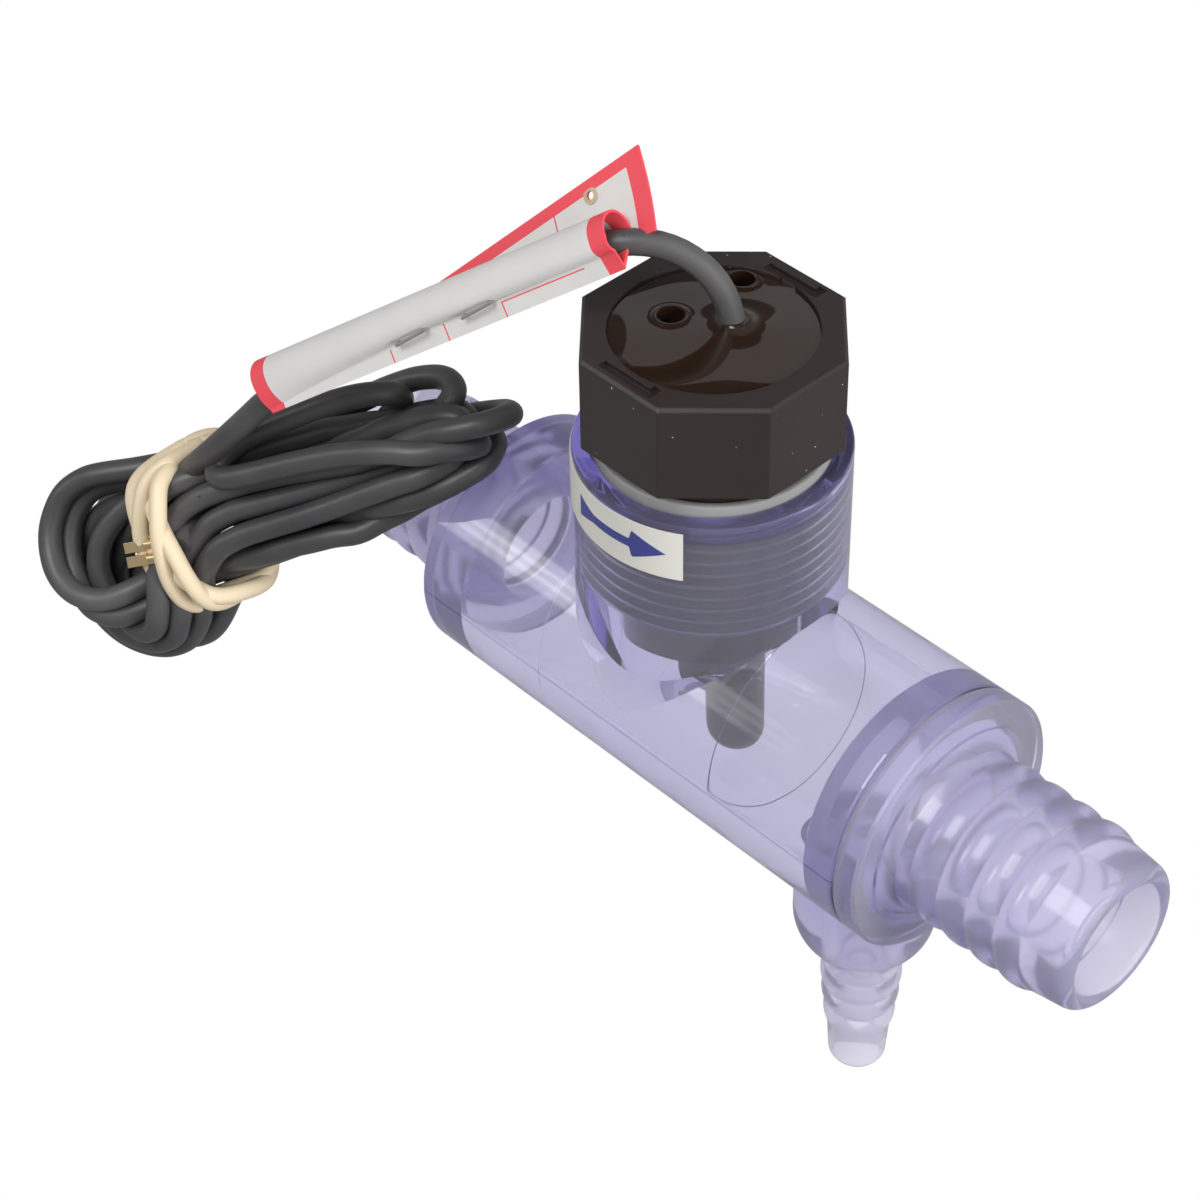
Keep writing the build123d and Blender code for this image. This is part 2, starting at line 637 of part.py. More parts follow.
def tag():
    """The paper tag: a sleeve folded round the cable and the flap that stands up behind it."""
    length = (Vector(*TAG_BOTTOM) - Vector(*TAG_TOP)).length
    sleeve = extrude(tag_section(0) - tag_section(TAG_PAPER), length)
    flap_face = make_face(Polyline(
        (-TAG_SHOULDER, FLAP_START), (FLAP_RISE, FLAP_START), (TAG_SHOULDER, FLAP_END),
        (-TAG_SHOULDER, FLAP_END), (-TAG_SHOULDER, FLAP_START)))
    flap = Rot(0, 0, FLAP_LEAN) * extrude(Plane.YZ * flap_face, TAG_PAPER)
    return tag_plane() * (sleeve + Pos(-TAG_DEPTH, 0, 0) * flap)


def staples():
    """Two wire staples through the tag's front, each a crown with two short legs."""
    fold_x, fold_y = TAG_FOLD
    wall = Vector(fold_x - TAG_DEPTH, fold_y - TAG_SHOULDER, 0).normalized()
    outward = Vector(-wall.Y, wall.X, 0)
    middle = Vector((fold_x + TAG_DEPTH) / 2, (fold_y + TAG_SHOULDER) / 2, 0)
    pieces = []
    for place in STAPLE_AT:
        on_wall = Plane(origin=middle + Vector(0, 0, place), x_dir=(0, 0, 1), z_dir=outward)
        crown = Pos(0, 0, STAPLE_R) * Rot(0, 90, 0) * Cylinder(STAPLE_R, STAPLE_WIDTH)
        legs = [Pos(side * (STAPLE_WIDTH / 2 - STAPLE_R), 0, (STAPLE_R - STAPLE_LEG) / 2) * Cylinder(
            STAPLE_R, STAPLE_LEG + STAPLE_R) for side in (-1, 1)]
        staple = Rot(0, 0, STAPLE_TURN) * (crown + legs[0] + legs[1])
        pieces.append(tag_plane() * (on_wall * staple))
    return pieces


def end_plane(side):
    """The plane across one core's free end, its local Z along the core."""
    start, aim = Vector(*END_START), Vector(*END_AIM)
    along = (aim - start).normalized()
    across = along.cross(Vector(*HANK_SIDE)).normalized()
    return Plane(origin=start + across * (side * END_SPREAD), x_dir=across, z_dir=along)


def end_cores():
    """The two cores that stand out of the jacket's cut end."""
    return [end_plane(side) * extrude(Circle(CORE_R), END_CORE_LENGTH) for side in (-1, 1)]


def contact_pins():
    """The crimped contact on each core: a round crimp barrel and a square open box."""
    pins = []
    for side in (-1, 1):
        barrel = Pos(0, 0, END_CORE_LENGTH - CRIMP_LENGTH) * extrude(
            Circle(CRIMP_R) - Circle(CORE_R), CRIMP_LENGTH)
        web = Pos(0, 0, END_CORE_LENGTH) * extrude(Circle(CRIMP_R), CONTACT_WALL)
        box_start = END_CORE_LENGTH + CONTACT_WALL
        box = Pos(0, 0, box_start) * extrude(
            Rectangle(CONTACT_BOX, CONTACT_BOX)
            - Rectangle(CONTACT_BOX - 2 * CONTACT_WALL, CONTACT_BOX - 2 * CONTACT_WALL),
            CONTACT_LENGTH - CRIMP_LENGTH - CONTACT_WALL)
        pins.append(end_plane(side) * (barrel + web + box))
    return pins


def group(pieces):
    """Several separate solids as one sub-part."""
    return Compound(children=list(pieces))


# Build every sub-part and write it
hank = cable_hank()
jacket = cable()
leads = reed_blades()

save(tee_body(), "tee_body")
save(hose_barb(RUN_END, OUTLET_FLANGE), "outlet_barb")
save(Rot(0, 0, 180) * hose_barb(-RUN_START, INLET_FLANGE), "inlet_barb")
save(drain_barb(), "drain_barb")
save(plug_body(), "plug_body")
save(sealing_ring(), "sealing_ring")
save(paddle(), "paddle")
save(paddle_magnet(), "paddle_magnet")
save(pivot_pin(), "pivot_pin")
save(reed_glass(), "reed_glass")
save(group(leads), "reed_blades")
save(group(splices()), "lead_splices")
save(group(splice_sleeves()), "splice_sleeves")
save(group(cable_cores()), "cable_cores")
save(group(core_conductors()), "core_conductors")
save(potting_compound(buried_pieces(leads, jacket)), "potting_compound")
save(flow_label(), "flow_label")
save(jacket, "cable")
save(hank, "cable_hank")
save(rubber_band(hank), "rubber_band")
save(tag(), "tag")
save(group(staples()), "tag_staples")
save(group(end_cores()), "end_cores")
save(group(contact_pins()), "contact_pins")

route = cable_path()
print("cable corner radii, mm:", [round(r, 1) for r in corner_radii(CABLE_ROUTE)])
print("cable length, mm:", round(route.length, 1), "volume over section times length:",
      round(jacket.volume / (pi * CABLE_R ** 2 * route.length), 4))
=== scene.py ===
"""Looks of the in-line paddle flow switch: clear tee and barbs, black plug, lead in a banded hank, tag.

Every size below is in millimetres in the part's own frame, and meshes are scaled to metres as they are built.
"""

import logging
import math
from dataclasses import dataclass
from enum import Enum

import bmesh
import bpy
import numpy as np
from mathutils import Matrix, Vector


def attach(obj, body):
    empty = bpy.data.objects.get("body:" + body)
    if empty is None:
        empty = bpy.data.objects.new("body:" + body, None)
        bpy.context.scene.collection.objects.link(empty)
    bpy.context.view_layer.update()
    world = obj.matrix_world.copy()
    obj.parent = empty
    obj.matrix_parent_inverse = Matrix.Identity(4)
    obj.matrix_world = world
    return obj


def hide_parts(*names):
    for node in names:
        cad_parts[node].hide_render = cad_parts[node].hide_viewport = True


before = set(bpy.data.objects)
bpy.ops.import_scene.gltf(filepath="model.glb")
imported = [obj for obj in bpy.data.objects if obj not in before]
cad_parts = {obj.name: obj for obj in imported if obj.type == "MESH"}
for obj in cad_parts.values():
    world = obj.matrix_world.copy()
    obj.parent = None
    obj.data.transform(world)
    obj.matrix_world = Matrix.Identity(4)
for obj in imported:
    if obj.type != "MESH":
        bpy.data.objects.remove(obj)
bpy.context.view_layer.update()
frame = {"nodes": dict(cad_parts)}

LOG = logging.getLogger("flow_switch")
MM = 0.001
BODY = "switch_body"
LEAST_GRAIN = 0.001
ROUND_SHARE = 0.3
EVEN_SHARES = (0.0, 0.25, 0.5, 0.75, 1.0)

Colour = tuple[float, float, float]
Point = tuple[float, float, float]


class Axis(Enum):
    """The axis that a turned piece is made round, as the matrix that lays the Z axis along it."""

    X = Matrix(((0, 0, 1, 0), (1, 0, 0, 0), (0, 1, 0, 0), (0, 0, 0, 1)))
    MINUS_X = Matrix(((0, 0, -1, 0), (-1, 0, 0, 0), (0, 1, 0, 0), (0, 0, 0, 1)))
    Z = Matrix.Identity(4)
    MINUS_Z = Matrix(((1, 0, 0, 0), (0, -1, 0, 0), (0, 0, -1, 0), (0, 0, 0, 1)))


class Cut(Enum):
    """How one solid is combined with another."""

    ADD = "UNION"
    TAKE = "DIFFERENCE"


class Slot(Enum):
    """The record's material slots."""

    CLEAR = "clear_pvc"
    BLACK = "black_plastic"
    RING = "grey_rubber"
    RESIN = "potting"
    GLASS = "reed_glass"
    STEEL = "contact_steel"
    SOLDER = "solder"
    SLEEVING = "sleeving"
    CORE = "core_insulation"
    COPPER = "copper"
    MAGNET = "magnet"
    LABEL = "label"
    JACKET = "cable_jacket"
    BAND = "band_rubber"
    PAPER = "paper"
    GOLD = "gold_contact"


class NodeKit:
    """A node tree, with short calls for adding and joining nodes."""

    def __init__(self, tree: bpy.types.NodeTree) -> None:
        """Takes up an existing tree.

        Args:
            tree: The tree.
        """
        self.tree = tree

    def join(self, source: bpy.types.NodeSocket, target: bpy.types.NodeSocket) -> None:
        """Links an output to an input."""
        self.tree.links.new(source, target)

    def fill(self, target: bpy.types.NodeSocket, value: object) -> None:
        """Links an output to an input, or sets the input to a plain value."""
        if isinstance(value, bpy.types.NodeSocket):
            self.join(value, target)
        else:
            target.default_value = value

    def add(self, kind: str, **inputs: object) -> bpy.types.Node:
        """Adds a node and fills its inputs.

        Args:
            kind: The node's type name.
            inputs: Values or outputs by input name, with underscores for spaces.

        Returns:
            The new node.
        """
        node = self.tree.nodes.new(kind)
        for name, value in inputs.items():
            self.fill(node.inputs[name.replace("_", " ")], value)
        return node

    def math(self, operation: str, *values: object, kind: str = "ShaderNodeMath") -> bpy.types.NodeSocket:
        """Adds a math node.

        Args:
            operation: The node's operation.
            values: Numbers, vectors or outputs, in the order of the node's inputs.
            kind: The node's type name.

        Returns:
            The node's first output.
        """
        node = self.add(kind)
        node.operation = operation
        for target, value in zip(node.inputs, values):
            self.fill(target, value)
        return node.outputs[0]

    def vector(self, operation: str, *values: object) -> bpy.types.NodeSocket:
        """Adds a vector math node and gives its vector."""
        return self.math(operation, *values, kind="ShaderNodeVectorMath")

    def scaled(self, vector: object, factor: bpy.types.NodeSocket) -> bpy.types.NodeSocket:
        """Adds a node that scales a vector by a factor."""
        result = self.vector("SCALE", vector)
        self.fill(result.node.inputs["Scale"], factor)
        return result


class ShaderTree(NodeKit):
    """A material's node tree round one main surface node."""

    def __init__(self, name: str) -> None:
        """Makes an empty material.

        Args:
            name: The material's name.
        """
        self.material = bpy.data.materials.new(name)
        self.material.use_nodes = True
        super().__init__(self.material.node_tree)
        self.tree.nodes.clear()
        self.output = self.add("ShaderNodeOutputMaterial")
        self.body = self.add("ShaderNodeBsdfPrincipled")
        self.join(self.body.outputs["BSDF"], self.output.inputs["Surface"])

    def within(self, value: bpy.types.NodeSocket, low: float, high: float) -> bpy.types.NodeSocket:
        """Gives 1 where a value lies between two limits and 0 elsewhere."""
        above = self.math("GREATER_THAN", value, low)
        below = self.math("LESS_THAN", value, high)
        return self.math("MULTIPLY", above, below)

    def mix(self, mask: object, first: object, second: object) -> bpy.types.NodeSocket:
        """Mixes two colours by a mask.

        Args:
            mask: A number or an output socket, 0 for the first colour.
            first: A colour or an output socket.
            second: A colour or an output socket.

        Returns:
            The mixed colour.
        """
        node = self.add("ShaderNodeMix")
        node.data_type = "RGBA"
        for place, value in ((0, mask), (6, first), (7, second)):
            self.fill(node.inputs[place], (*value, 1.0) if isinstance(value, tuple) else value)
        return node.outputs[2]

    def position(self) -> bpy.types.NodeSocket:
        """Gives the place on the object, in metres in its own frame."""
        return self.add("ShaderNodeTexCoord").outputs["Object"]

    def noise(self, per_metre: float, detail: float = 2.0) -> bpy.types.NodeSocket:
        """Gives a noise value over the object's own frame."""
        node = self.add("ShaderNodeTexNoise", Scale=per_metre, Detail=detail, Vector=self.position())
        return node.outputs["Fac"]

    def bump(self, height: bpy.types.NodeSocket, depth_mm: float, strength: float = 1.0,
             rounding_mm: float = 0.0) -> None:
        """Raises the surface by a height, and rounds its edges if asked.

        Args:
            height: The height's socket, 0 to 1.
            depth_mm: The full height.
            strength: How much of the bump shows.
            rounding_mm: The radius that the edges seem to have.
        """
        node = self.add("ShaderNodeBump", Strength=strength, Distance=depth_mm * MM, Height=height)
        if rounding_mm > 0:
            bevel = self.add("ShaderNodeBevel", Radius=rounding_mm * MM)
            self.join(bevel.outputs["Normal"], node.inputs["Normal"])
        self.join(node.outputs["Normal"], self.body.inputs["Normal"])


@dataclass(frozen=True)
class Finish:
    """A plain finish: colour, roughness and metal, with fine grain and softened edges.

    Args:
        slot: The record's material slot.
        colour: Base colour, linear.
        roughness: Surface roughness.
        metallic: 1 for bare metal.
        coat: Weight of a clear gloss over the colour.
        grain_mm: Height of the fine grain.
        grain_per_metre: Scale of the fine grain.
        edge_mm: Radius that sharp edges seem to have.
        name: The material's name, or nothing for one that follows from the slot.
    """

    slot: Slot
    colour: Colour
    roughness: float
    metallic: float = 0.0
    coat: float = 0.0
    grain_mm: float = 0.0
    grain_per_metre: float = 2500.0
    edge_mm: float = 0.0
    name: str = ""

    def material(self) -> bpy.types.Material:
        """Builds the finish's material, or finds it where it is built already."""
        name = self.name or f"{self.slot.value}_finish"
        existing = bpy.data.materials.get(name)
        if existing is not None:
            return existing
        shader = ShaderTree(name)
        self.surface(shader)
        return shader.material

    def surface(self, shader: ShaderTree) -> None:
        """Sets the main surface values and the grain.

        Args:
            shader: The material's tree.
        """
        body = shader.body
        body.inputs["Base Color"].default_value = (*self.colour, 1.0)
        body.inputs["Roughness"].default_value = self.roughness
        body.inputs["Metallic"].default_value = self.metallic
        body.inputs["Coat Weight"].default_value = self.coat
        if self.grain_mm > 0 or self.edge_mm > 0:
            height = shader.noise(self.grain_per_metre)
            shader.bump(height, max(self.grain_mm, LEAST_GRAIN), rounding_mm=self.edge_mm)


@dataclass(frozen=True)
class ClearPlastic(Finish):
    """Clear tinted plastic, darker where there is more of it to look through.

    Args:
        tint: Colour that the volume keeps.
        density: Absorption per metre of what the tint leaves out.
        index: Refractive index.
        haze: Share of the light that the plastic scatters.
        wave_per_metre: Scale of the moulded waviness.
        wave_mm: Height of the waviness.
    """

    tint: Colour = (0.55, 0.50, 0.87)
    density: float = 88.0
    index: float = 1.50
    haze: float = 0.08
    wave_per_metre: float = 140.0
    wave_mm: float = 0.05

    def surface(self, shader: ShaderTree) -> None:
        """Sets transmission, the tinted volume and a faint moulded waviness.

        Args:
            shader: The material's tree.
        """
        body = shader.body
        body.inputs["Base Color"].default_value = (*self.colour, 1.0)
        body.inputs["Roughness"].default_value = self.roughness
        body.inputs["IOR"].default_value = self.index
        body.inputs["Coat Weight"].default_value = self.coat
        body.inputs["Transmission Weight"].default_value = 1.0 - self.haze
        volume = shader.add("ShaderNodeVolumeAbsorption", Density=self.density, Color=(*self.tint, 1.0))
        shader.join(volume.outputs["Volume"], shader.output.inputs["Volume"])
        waves = shader.noise(self.wave_per_metre, 1.0)
        shader.bump(waves, self.wave_mm, strength=0.5)


@dataclass(frozen=True)
class TeePlastic(ClearPlastic):
    """The tee's clear plastic, with a parting line in front, a mouth painted a deeper violet as shade for the
    long light path through its wall, and a milky cut thread.

    Args:
        line_half: Half width of the parting line.
        line_front: The line shows in front of this place.
        line_colour: Its colour.
        mouth_shade_colour: Painted shade above the thread: a deeper violet for the long light path through
            the mouth's wall.
        thread_r: Radius inside which the thread lies.
        thread_low: Bottom of the thread.
        thread_high: Top of the thread.
        thread_colour: Colour of the cut thread.
        thread_haze: How milky it is.
        thread_rough: How much rougher it is.
    """

    line_half: float = 0.12
    line_front: float = -15.5
    line_colour: Colour = (0.30, 0.28, 0.62)
    mouth_shade_colour: Colour = (0.70, 0.66, 0.97)
    thread_r: float = 14.3
    thread_low: float = 16.0
    thread_high: float = 32.75
    thread_colour: Colour = (0.63, 0.63, 0.84)
    thread_haze: float = 0.16
    thread_rough: float = 0.2

    def surface(self, shader: ShaderTree) -> None:
        """Sets the clear plastic, then its line, its mouth's painted shade and its thread by their places.

        Args:
            shader: The material's tree.
        """
        super().surface(shader)
        inputs = shader.body.inputs
        parts = shader.add("ShaderNodeSeparateXYZ", Vector=shader.position()).outputs
        line = shader.within(parts["Z"], -self.line_half * MM, self.line_half * MM)
        front = shader.math("LESS_THAN", parts["Y"], self.line_front * MM)
        tinted = shader.mix(shader.math("MULTIPLY", line, front), self.colour, self.line_colour)
        squares = [shader.math("POWER", parts[axis], 2.0) for axis in "XY"]
        off_axis = shader.math("POWER", shader.math("ADD", *squares), 0.5)
        inner = shader.math("LESS_THAN", off_axis, self.thread_r * MM)
        level = shader.within(parts["Z"], self.thread_low * MM, self.thread_high * MM)
        thread = shader.math("MULTIPLY", inner, level)
        # Painted shade: the plastic above the thread is tinted a deeper violet for the long light path
        # through the mouth's wall.
        mouth = shader.math("GREATER_THAN", parts["Z"], self.thread_high * MM)
        tinted = shader.mix(mouth, tinted, self.mouth_shade_colour)
        shader.join(shader.mix(thread, tinted, self.thread_colour), inputs["Base Color"])
        milky = shader.math("MULTIPLY", thread, self.thread_haze)
        shader.join(shader.math("SUBTRACT", 1.0 - self.haze, milky), inputs["Transmission Weight"])
        rough = shader.math("MULTIPLY_ADD", thread, self.thread_rough, self.roughness)
        shader.join(rough, inputs["Roughness"])


@dataclass(frozen=True)
class DustyPlastic(Finish):
    """Satin moulded plastic, cloudy, with a few specks of pale dust.

    Args:
        dust: The specks' colour.
        dust_per_metre: Scale of the specks.
        dust_level: The noise level above which a speck shows.
        cloud_per_metre: Scale of the clouds.
        cloud_shades: The clouds' darkest and palest shade, as shares of the colour.
    """

    dust: Colour = (0.42, 0.40, 0.36)
    dust_per_metre: float = 1500.0
    dust_level: float = 0.80
    cloud_per_metre: float = 90.0
    cloud_shades: tuple[float, float] = (0.8, 1.25)

    def surface(self, shader: ShaderTree) -> None:
        """Sets the satin surface, its clouds and its specks."""
        super().surface(shader)
        specks = shader.math("GREATER_THAN", shader.noise(self.dust_per_metre, 1.0), self.dust_level)
        dark, pale = (tuple(shade * part for part in self.colour) for shade in self.cloud_shades)
        clouds = shader.mix(shader.noise(self.cloud_per_metre, 3.0), dark, pale)
        shader.join(shader.mix(specks, clouds, self.dust), shader.body.inputs["Base Color"])


@dataclass(frozen=True)
class JacketPlastic(Finish):
    """Satin cable jacket, worn a little paler in patches, with a few dark marks.

    Args:
        worn: Colour of the worn patches.
        worn_per_metre: Scale of the patches.
        mark: Colour of the marks.
        mark_per_metre: Scale of the marks.
        mark_level: The noise level above which a mark shows.
    """

    worn: Colour = (0.16, 0.155, 0.155)
    worn_per_metre: float = 60.0
    mark: Colour = (0.02, 0.02, 0.02)
    mark_per_metre: float = 1100.0
    mark_level: float = 0.82

    def surface(self, shader: ShaderTree) -> None:
        """Sets the jacket's colour, its patches and its marks."""
        super().surface(shader)
        patches = shader.math("POWER", shader.noise(self.worn_per_metre, 3.0), 2.0)
        colour = shader.mix(patches, self.colour, self.worn)
        marks = shader.math("GREATER_THAN", shader.noise(self.mark_per_metre, 0.5), self.mark_level)
        shader.join(shader.mix(marks, colour, self.mark), shader.body.inputs["Base Color"])


@dataclass(frozen=True)
class TagPaper(Finish):
    """Tag paper with a red edge and thin red rules, laid out in millimetres on the piece's own map.

    Args:
        print_colour: The printed red.
        length: The printed length along the tag.
        edge: Width of the red edge.
        flap_edge: Width of the red edge along the flap's slant, as a share of the edge.
        rules: Rules as (low across, high across, low along, high along).
        flap: Whether the edge follows the flap's outline instead of the sleeve's two ends.
        fibre_per_metre: Scale of the paper's unevenness.
        fibre_shade: Its darkest shade, as a share of the colour.
    """

    print_colour: Colour = (0.80, 0.075, 0.10)
    length: float = 57.3
    edge: float = 2.3
    flap_edge: float = 0.62
    rules: tuple[tuple[float, float, float, float], ...] = ()
    flap: bool = False
    fibre_per_metre: float = 220.0
    fibre_shade: float = 0.90

    def surface(self, shader: ShaderTree) -> None:
        """Sets the paper and its print from the piece's map."""
        super().surface(shader)
        place = shader.add("ShaderNodeUVMap")
        parts = shader.add("ShaderNodeSeparateXYZ", Vector=place.outputs["UV"])
        across, along = parts.outputs["X"], parts.outputs["Y"]
        low = shader.math("LESS_THAN", along, self.edge)
        other = (shader.math("LESS_THAN", across, self.edge * self.flap_edge) if self.flap
                 else shader.math("GREATER_THAN", along, self.length - self.edge))
        printed = shader.math("MAXIMUM", low, other)
        for near, far, start, end in self.rules:
            rule = shader.math("MULTIPLY", shader.within(across, near, far), shader.within(along, start, end))
            printed = shader.math("MAXIMUM", printed, rule)
        shade = tuple(self.fibre_shade * part for part in self.colour)
        paper = shader.mix(shader.noise(self.fibre_per_metre, 4.0), self.colour, shade)
        shader.join(shader.mix(printed, paper, self.print_colour), shader.body.inputs["Base Color"])


CLEAR = ClearPlastic(Slot.CLEAR, (0.90, 0.88, 0.985), 0.15, haze=0.20, density=72.0, index=1.42)
TEE = TeePlastic(Slot.CLEAR, (0.95, 0.945, 0.99), 0.03, name="tee_plastic")
BLACK = DustyPlastic(Slot.BLACK, (0.024, 0.017, 0.0155), 0.40, grain_mm=0.012, edge_mm=0.25)
RESIN = Finish(Slot.RESIN, (0.020, 0.010, 0.006), 0.04, coat=0.3)
RING = Finish(Slot.RING, (0.28, 0.28, 0.28), 0.5)
GLASS = Finish(Slot.GLASS, (0.55, 0.70, 0.60), 0.05)
STEEL = Finish(Slot.STEEL, (0.62, 0.60, 0.56), 0.28, metallic=1.0)
SOLDER = Finish(Slot.SOLDER, (0.70, 0.70, 0.71), 0.35, metallic=1.0)
SLEEVING = Finish(Slot.SLEEVING, (0.02, 0.02, 0.02), 0.5)
CORE = Finish(Slot.CORE, (0.035, 0.035, 0.038), 0.4)
COPPER = Finish(Slot.COPPER, (0.85, 0.42, 0.25), 0.3, metallic=1.0)
MAGNET = Finish(Slot.MAGNET, (0.10, 0.10, 0.105), 0.4, metallic=0.6)
LABEL = Finish(Slot.LABEL, (0.70, 0.69, 0.64), 0.45)
INK = Finish(Slot.LABEL, (0.045, 0.055, 0.26), 0.4, name="arrow_ink")
JACKET = JacketPlastic(Slot.JACKET, (0.038, 0.037, 0.040), 0.40, grain_mm=0.01, grain_per_metre=1800.0)
BAND = Finish(Slot.BAND, (0.76, 0.63, 0.44), 0.5, grain_mm=0.03, grain_per_metre=900.0)
GOLD = Finish(Slot.GOLD, (0.86, 0.66, 0.36), 0.25, metallic=1.0, edge_mm=0.1)
EYELET = Finish(Slot.PAPER, (0.52, 0.40, 0.27), 0.6, name="eyelet_card")
PAPER: Colour = (0.70, 0.69, 0.67)
SLEEVE = TagPaper(Slot.PAPER, PAPER, 0.62, grain_mm=0.02, grain_per_metre=1200.0, name="sleeve_paper", rules=(
    (1.75, 1.92, 5.0, 18.0), (0.0, 1.8, 17.8, 18.0), (0.0, 2.1, 27.0, 27.2), (0.0, 1.9, 36.0, 36.2)))
FLAP = TagPaper(Slot.PAPER, PAPER, 0.62, grain_mm=0.02, grain_per_metre=1200.0, name="flap_paper", flap=True,
                rules=((1.3, 4.6, 13.6, 13.8), (1.3, 4.2, 24.6, 24.8)))


class Solid:
    """A closed mesh in the making, in millimetres, that ends as one object of the scene."""

    def __init__(self, name: str) -> None:
        """Starts an empty mesh.

        Args:
            name: The piece's name.
        """
        self.name = name
        self.mesh = bmesh.new()

    def turn(self, outline: list[tuple[float, float]], axis: Axis, segments: int = 192,
             centre: Point = (0.0, 0.0, 0.0)) -> "Solid":
        """Adds a solid of revolution.

        Args:
            outline: A closed outline of (radius, length) points. Points on the axis come first and last.
            axis: The axis it is turned round.
            segments: Facets round the axis.
            centre: The place of the axis's zero.

        Returns:
            This solid.
        """
        rings = []
        place = Matrix.Translation(Vector(centre)) @ axis.value
        for radius, length in outline:
            if radius < 1e-6:
                rings.append([self.mesh.verts.new(place @ Vector((0, 0, length)))])
                continue
            ring = []
            for step in range(segments):
                angle = 2 * math.pi * step / segments
                ring.append(self.mesh.verts.new(
                    place @ Vector((radius * math.cos(angle), radius * math.sin(angle), length))))
            rings.append(ring)
        for first, second in zip(rings, rings[1:] + rings[:1]):
            self.bridge(first, second)
        return self

    def bridge(self, first: list[bmesh.types.BMVert], second: list[bmesh.types.BMVert]) -> None:
        """Joins two rings, either of which may be one point, with faces.

        Args:
            first: The first ring.
            second: The second ring.
        """
        count = max(len(first), len(second))
        if count == 1:
            return
        for step in range(count):
            following = (step + 1) % count
            corners = [first[step % len(first)], first[following % len(first)],
                       second[following % len(second)], second[step % len(second)]]
            face = list(dict.fromkeys(corners))
            self.mesh.faces.new(face)

    def to_object(self, sharp_degrees: float = 30.0) -> bpy.types.Object:
        """Ends the mesh as an object at the origin, in metres, smooth but for its sharp edges.

        Args:
            sharp_degrees: Edges that turn by more than this stay sharp.

        Returns:
            The new object.
        """
        bmesh.ops.recalc_face_normals(self.mesh, faces=self.mesh.faces)
        bmesh.ops.scale(self.mesh, vec=(MM, MM, MM), verts=self.mesh.verts)
        data = bpy.data.meshes.new(self.name)
        self.mesh.to_mesh(data)
        self.mesh.free()
        piece = bpy.data.objects.new(self.name, data)
        bpy.context.scene.collection.objects.link(piece)
        sharpen(piece, sharp_degrees)
        return piece


def sharpen(piece: bpy.types.Object, sharp_degrees: float) -> None:
    """Shades a piece smooth and marks the edges that turn by more than an angle as sharp.

    Args:
        piece: The piece.
        sharp_degrees: The angle.
    """
    mesh = bmesh.new()
    mesh.from_mesh(piece.data)
    limit = math.radians(sharp_degrees)
    for face in mesh.faces:
        face.smooth = True
    for edge in mesh.edges:
        edge.smooth = edge.calc_face_angle(0.0) < limit
    mesh.to_mesh(piece.data)
    mesh.free()


def combine(piece: bpy.types.Object, tool: bpy.types.Object, cut: Cut) -> bpy.types.Object:
    """Combines a piece with a tool and removes the tool.

    Args:
        piece: The piece that is changed.
        tool: The piece that is used up.
        cut: How the two are combined.

    Returns:
        The changed piece.
    """
    modifier = piece.modifiers.new("cut", "BOOLEAN")
    modifier.operation = cut.value
    modifier.solver = "EXACT"
    modifier.object = tool
    graph = bpy.context.evaluated_depsgraph_get()
    result = bpy.data.meshes.new_from_object(piece.evaluated_get(graph))
    piece.modifiers.clear()
    piece.data = result
    bpy.data.objects.remove(tool)
    return piece


def round_normals(piece: bpy.types.Object, rounds: list[tuple[Axis, float, Point]],
                  slack: float = 0.02) -> None:
    """Gives the corners that lie on true cylinders the cylinders' own normals.

    Args:
        piece: The piece, in metres.
        rounds: Cylinders as (axis, radius, centre), in millimetres.
        slack: How far a corner may lie off a cylinder, in millimetres.
    """
    data = piece.data
    normals = [Vector(corner.vector) for corner in data.corner_normals]
    for face in data.polygons:
        for axis, radius, centre in rounds:
            along = axis.value.to_3x3() @ Vector((0, 0, 1))
            spokes = []
            for vertex in face.vertices:
                arm = data.vertices[vertex].co / MM - Vector(centre)
                spokes.append(arm - along * arm.dot(along))
            if all(abs(spoke.length - radius) < slack for spoke in spokes):
                sign = 1.0 if face.normal.dot(spokes[0]) > 0 else -1.0
                for corner, spoke in zip(face.loop_indices, spokes):
                    normals[corner] = spoke.normalized() * sign
                break
    data.normals_split_custom_set(normals)


def arc_points(start: tuple[float, float], middle: tuple[float, float], end: tuple[float, float],
               count: int) -> list[tuple[float, float]]:
    """Points along the circle's arc through three points, without the last one.

    Args:
        start: The first point.
        middle: A point between.
        end: The last point.
        count: How many steps the arc has.

    Returns:
        The points.
    """
    (ax, ay), (bx, by), (cx, cy) = start, middle, end
    scale = 2 * (ax * (by - cy) + bx * (cy - ay) + cx * (ay - by))
    a, b, c = ax * ax + ay * ay, bx * bx + by * by, cx * cx + cy * cy
    x = (a * (by - cy) + b * (cy - ay) + c * (ay - by)) / scale
    y = (a * (cx - bx) + b * (ax - cx) + c * (bx - ax)) / scale
    radius = math.hypot(ax - x, ay - y)
    first = math.atan2(ay - y, ax - x)
    half = (math.atan2(by - y, bx - x) - first + math.pi) % (2 * math.pi) - math.pi
    rest = (math.atan2(cy - y, cx - x) - first - half + math.pi) % (2 * math.pi) - math.pi
    angles = [first + (half + rest) * step / count for step in range(count)]
    return [(x + radius * math.cos(angle), y + radius * math.sin(angle)) for angle in angles]


def rib_points(valleys: tuple[float, ...], start: float, pitch: float, height: float,
               steps: int) -> list[tuple[float, float]]:
    """Points along a row of round ribs, without the last one.

    Args:
        valleys: Radii at the ribs' feet, in order.
        start: Where the first rib starts.
        pitch: Distance from rib to rib.
        height: Height of a rib over the middle of its feet.
        steps: How many steps a rib has.

    Returns:
        The points.
    """
    points = []
    for place, (near, far) in enumerate(zip(valleys, valleys[1:])):
        low = start + place * pitch
        crest = (near + far) / 2 + height
        points += arc_points((near, low), (crest, low + pitch / 2), (far, low + pitch), steps)
    return points


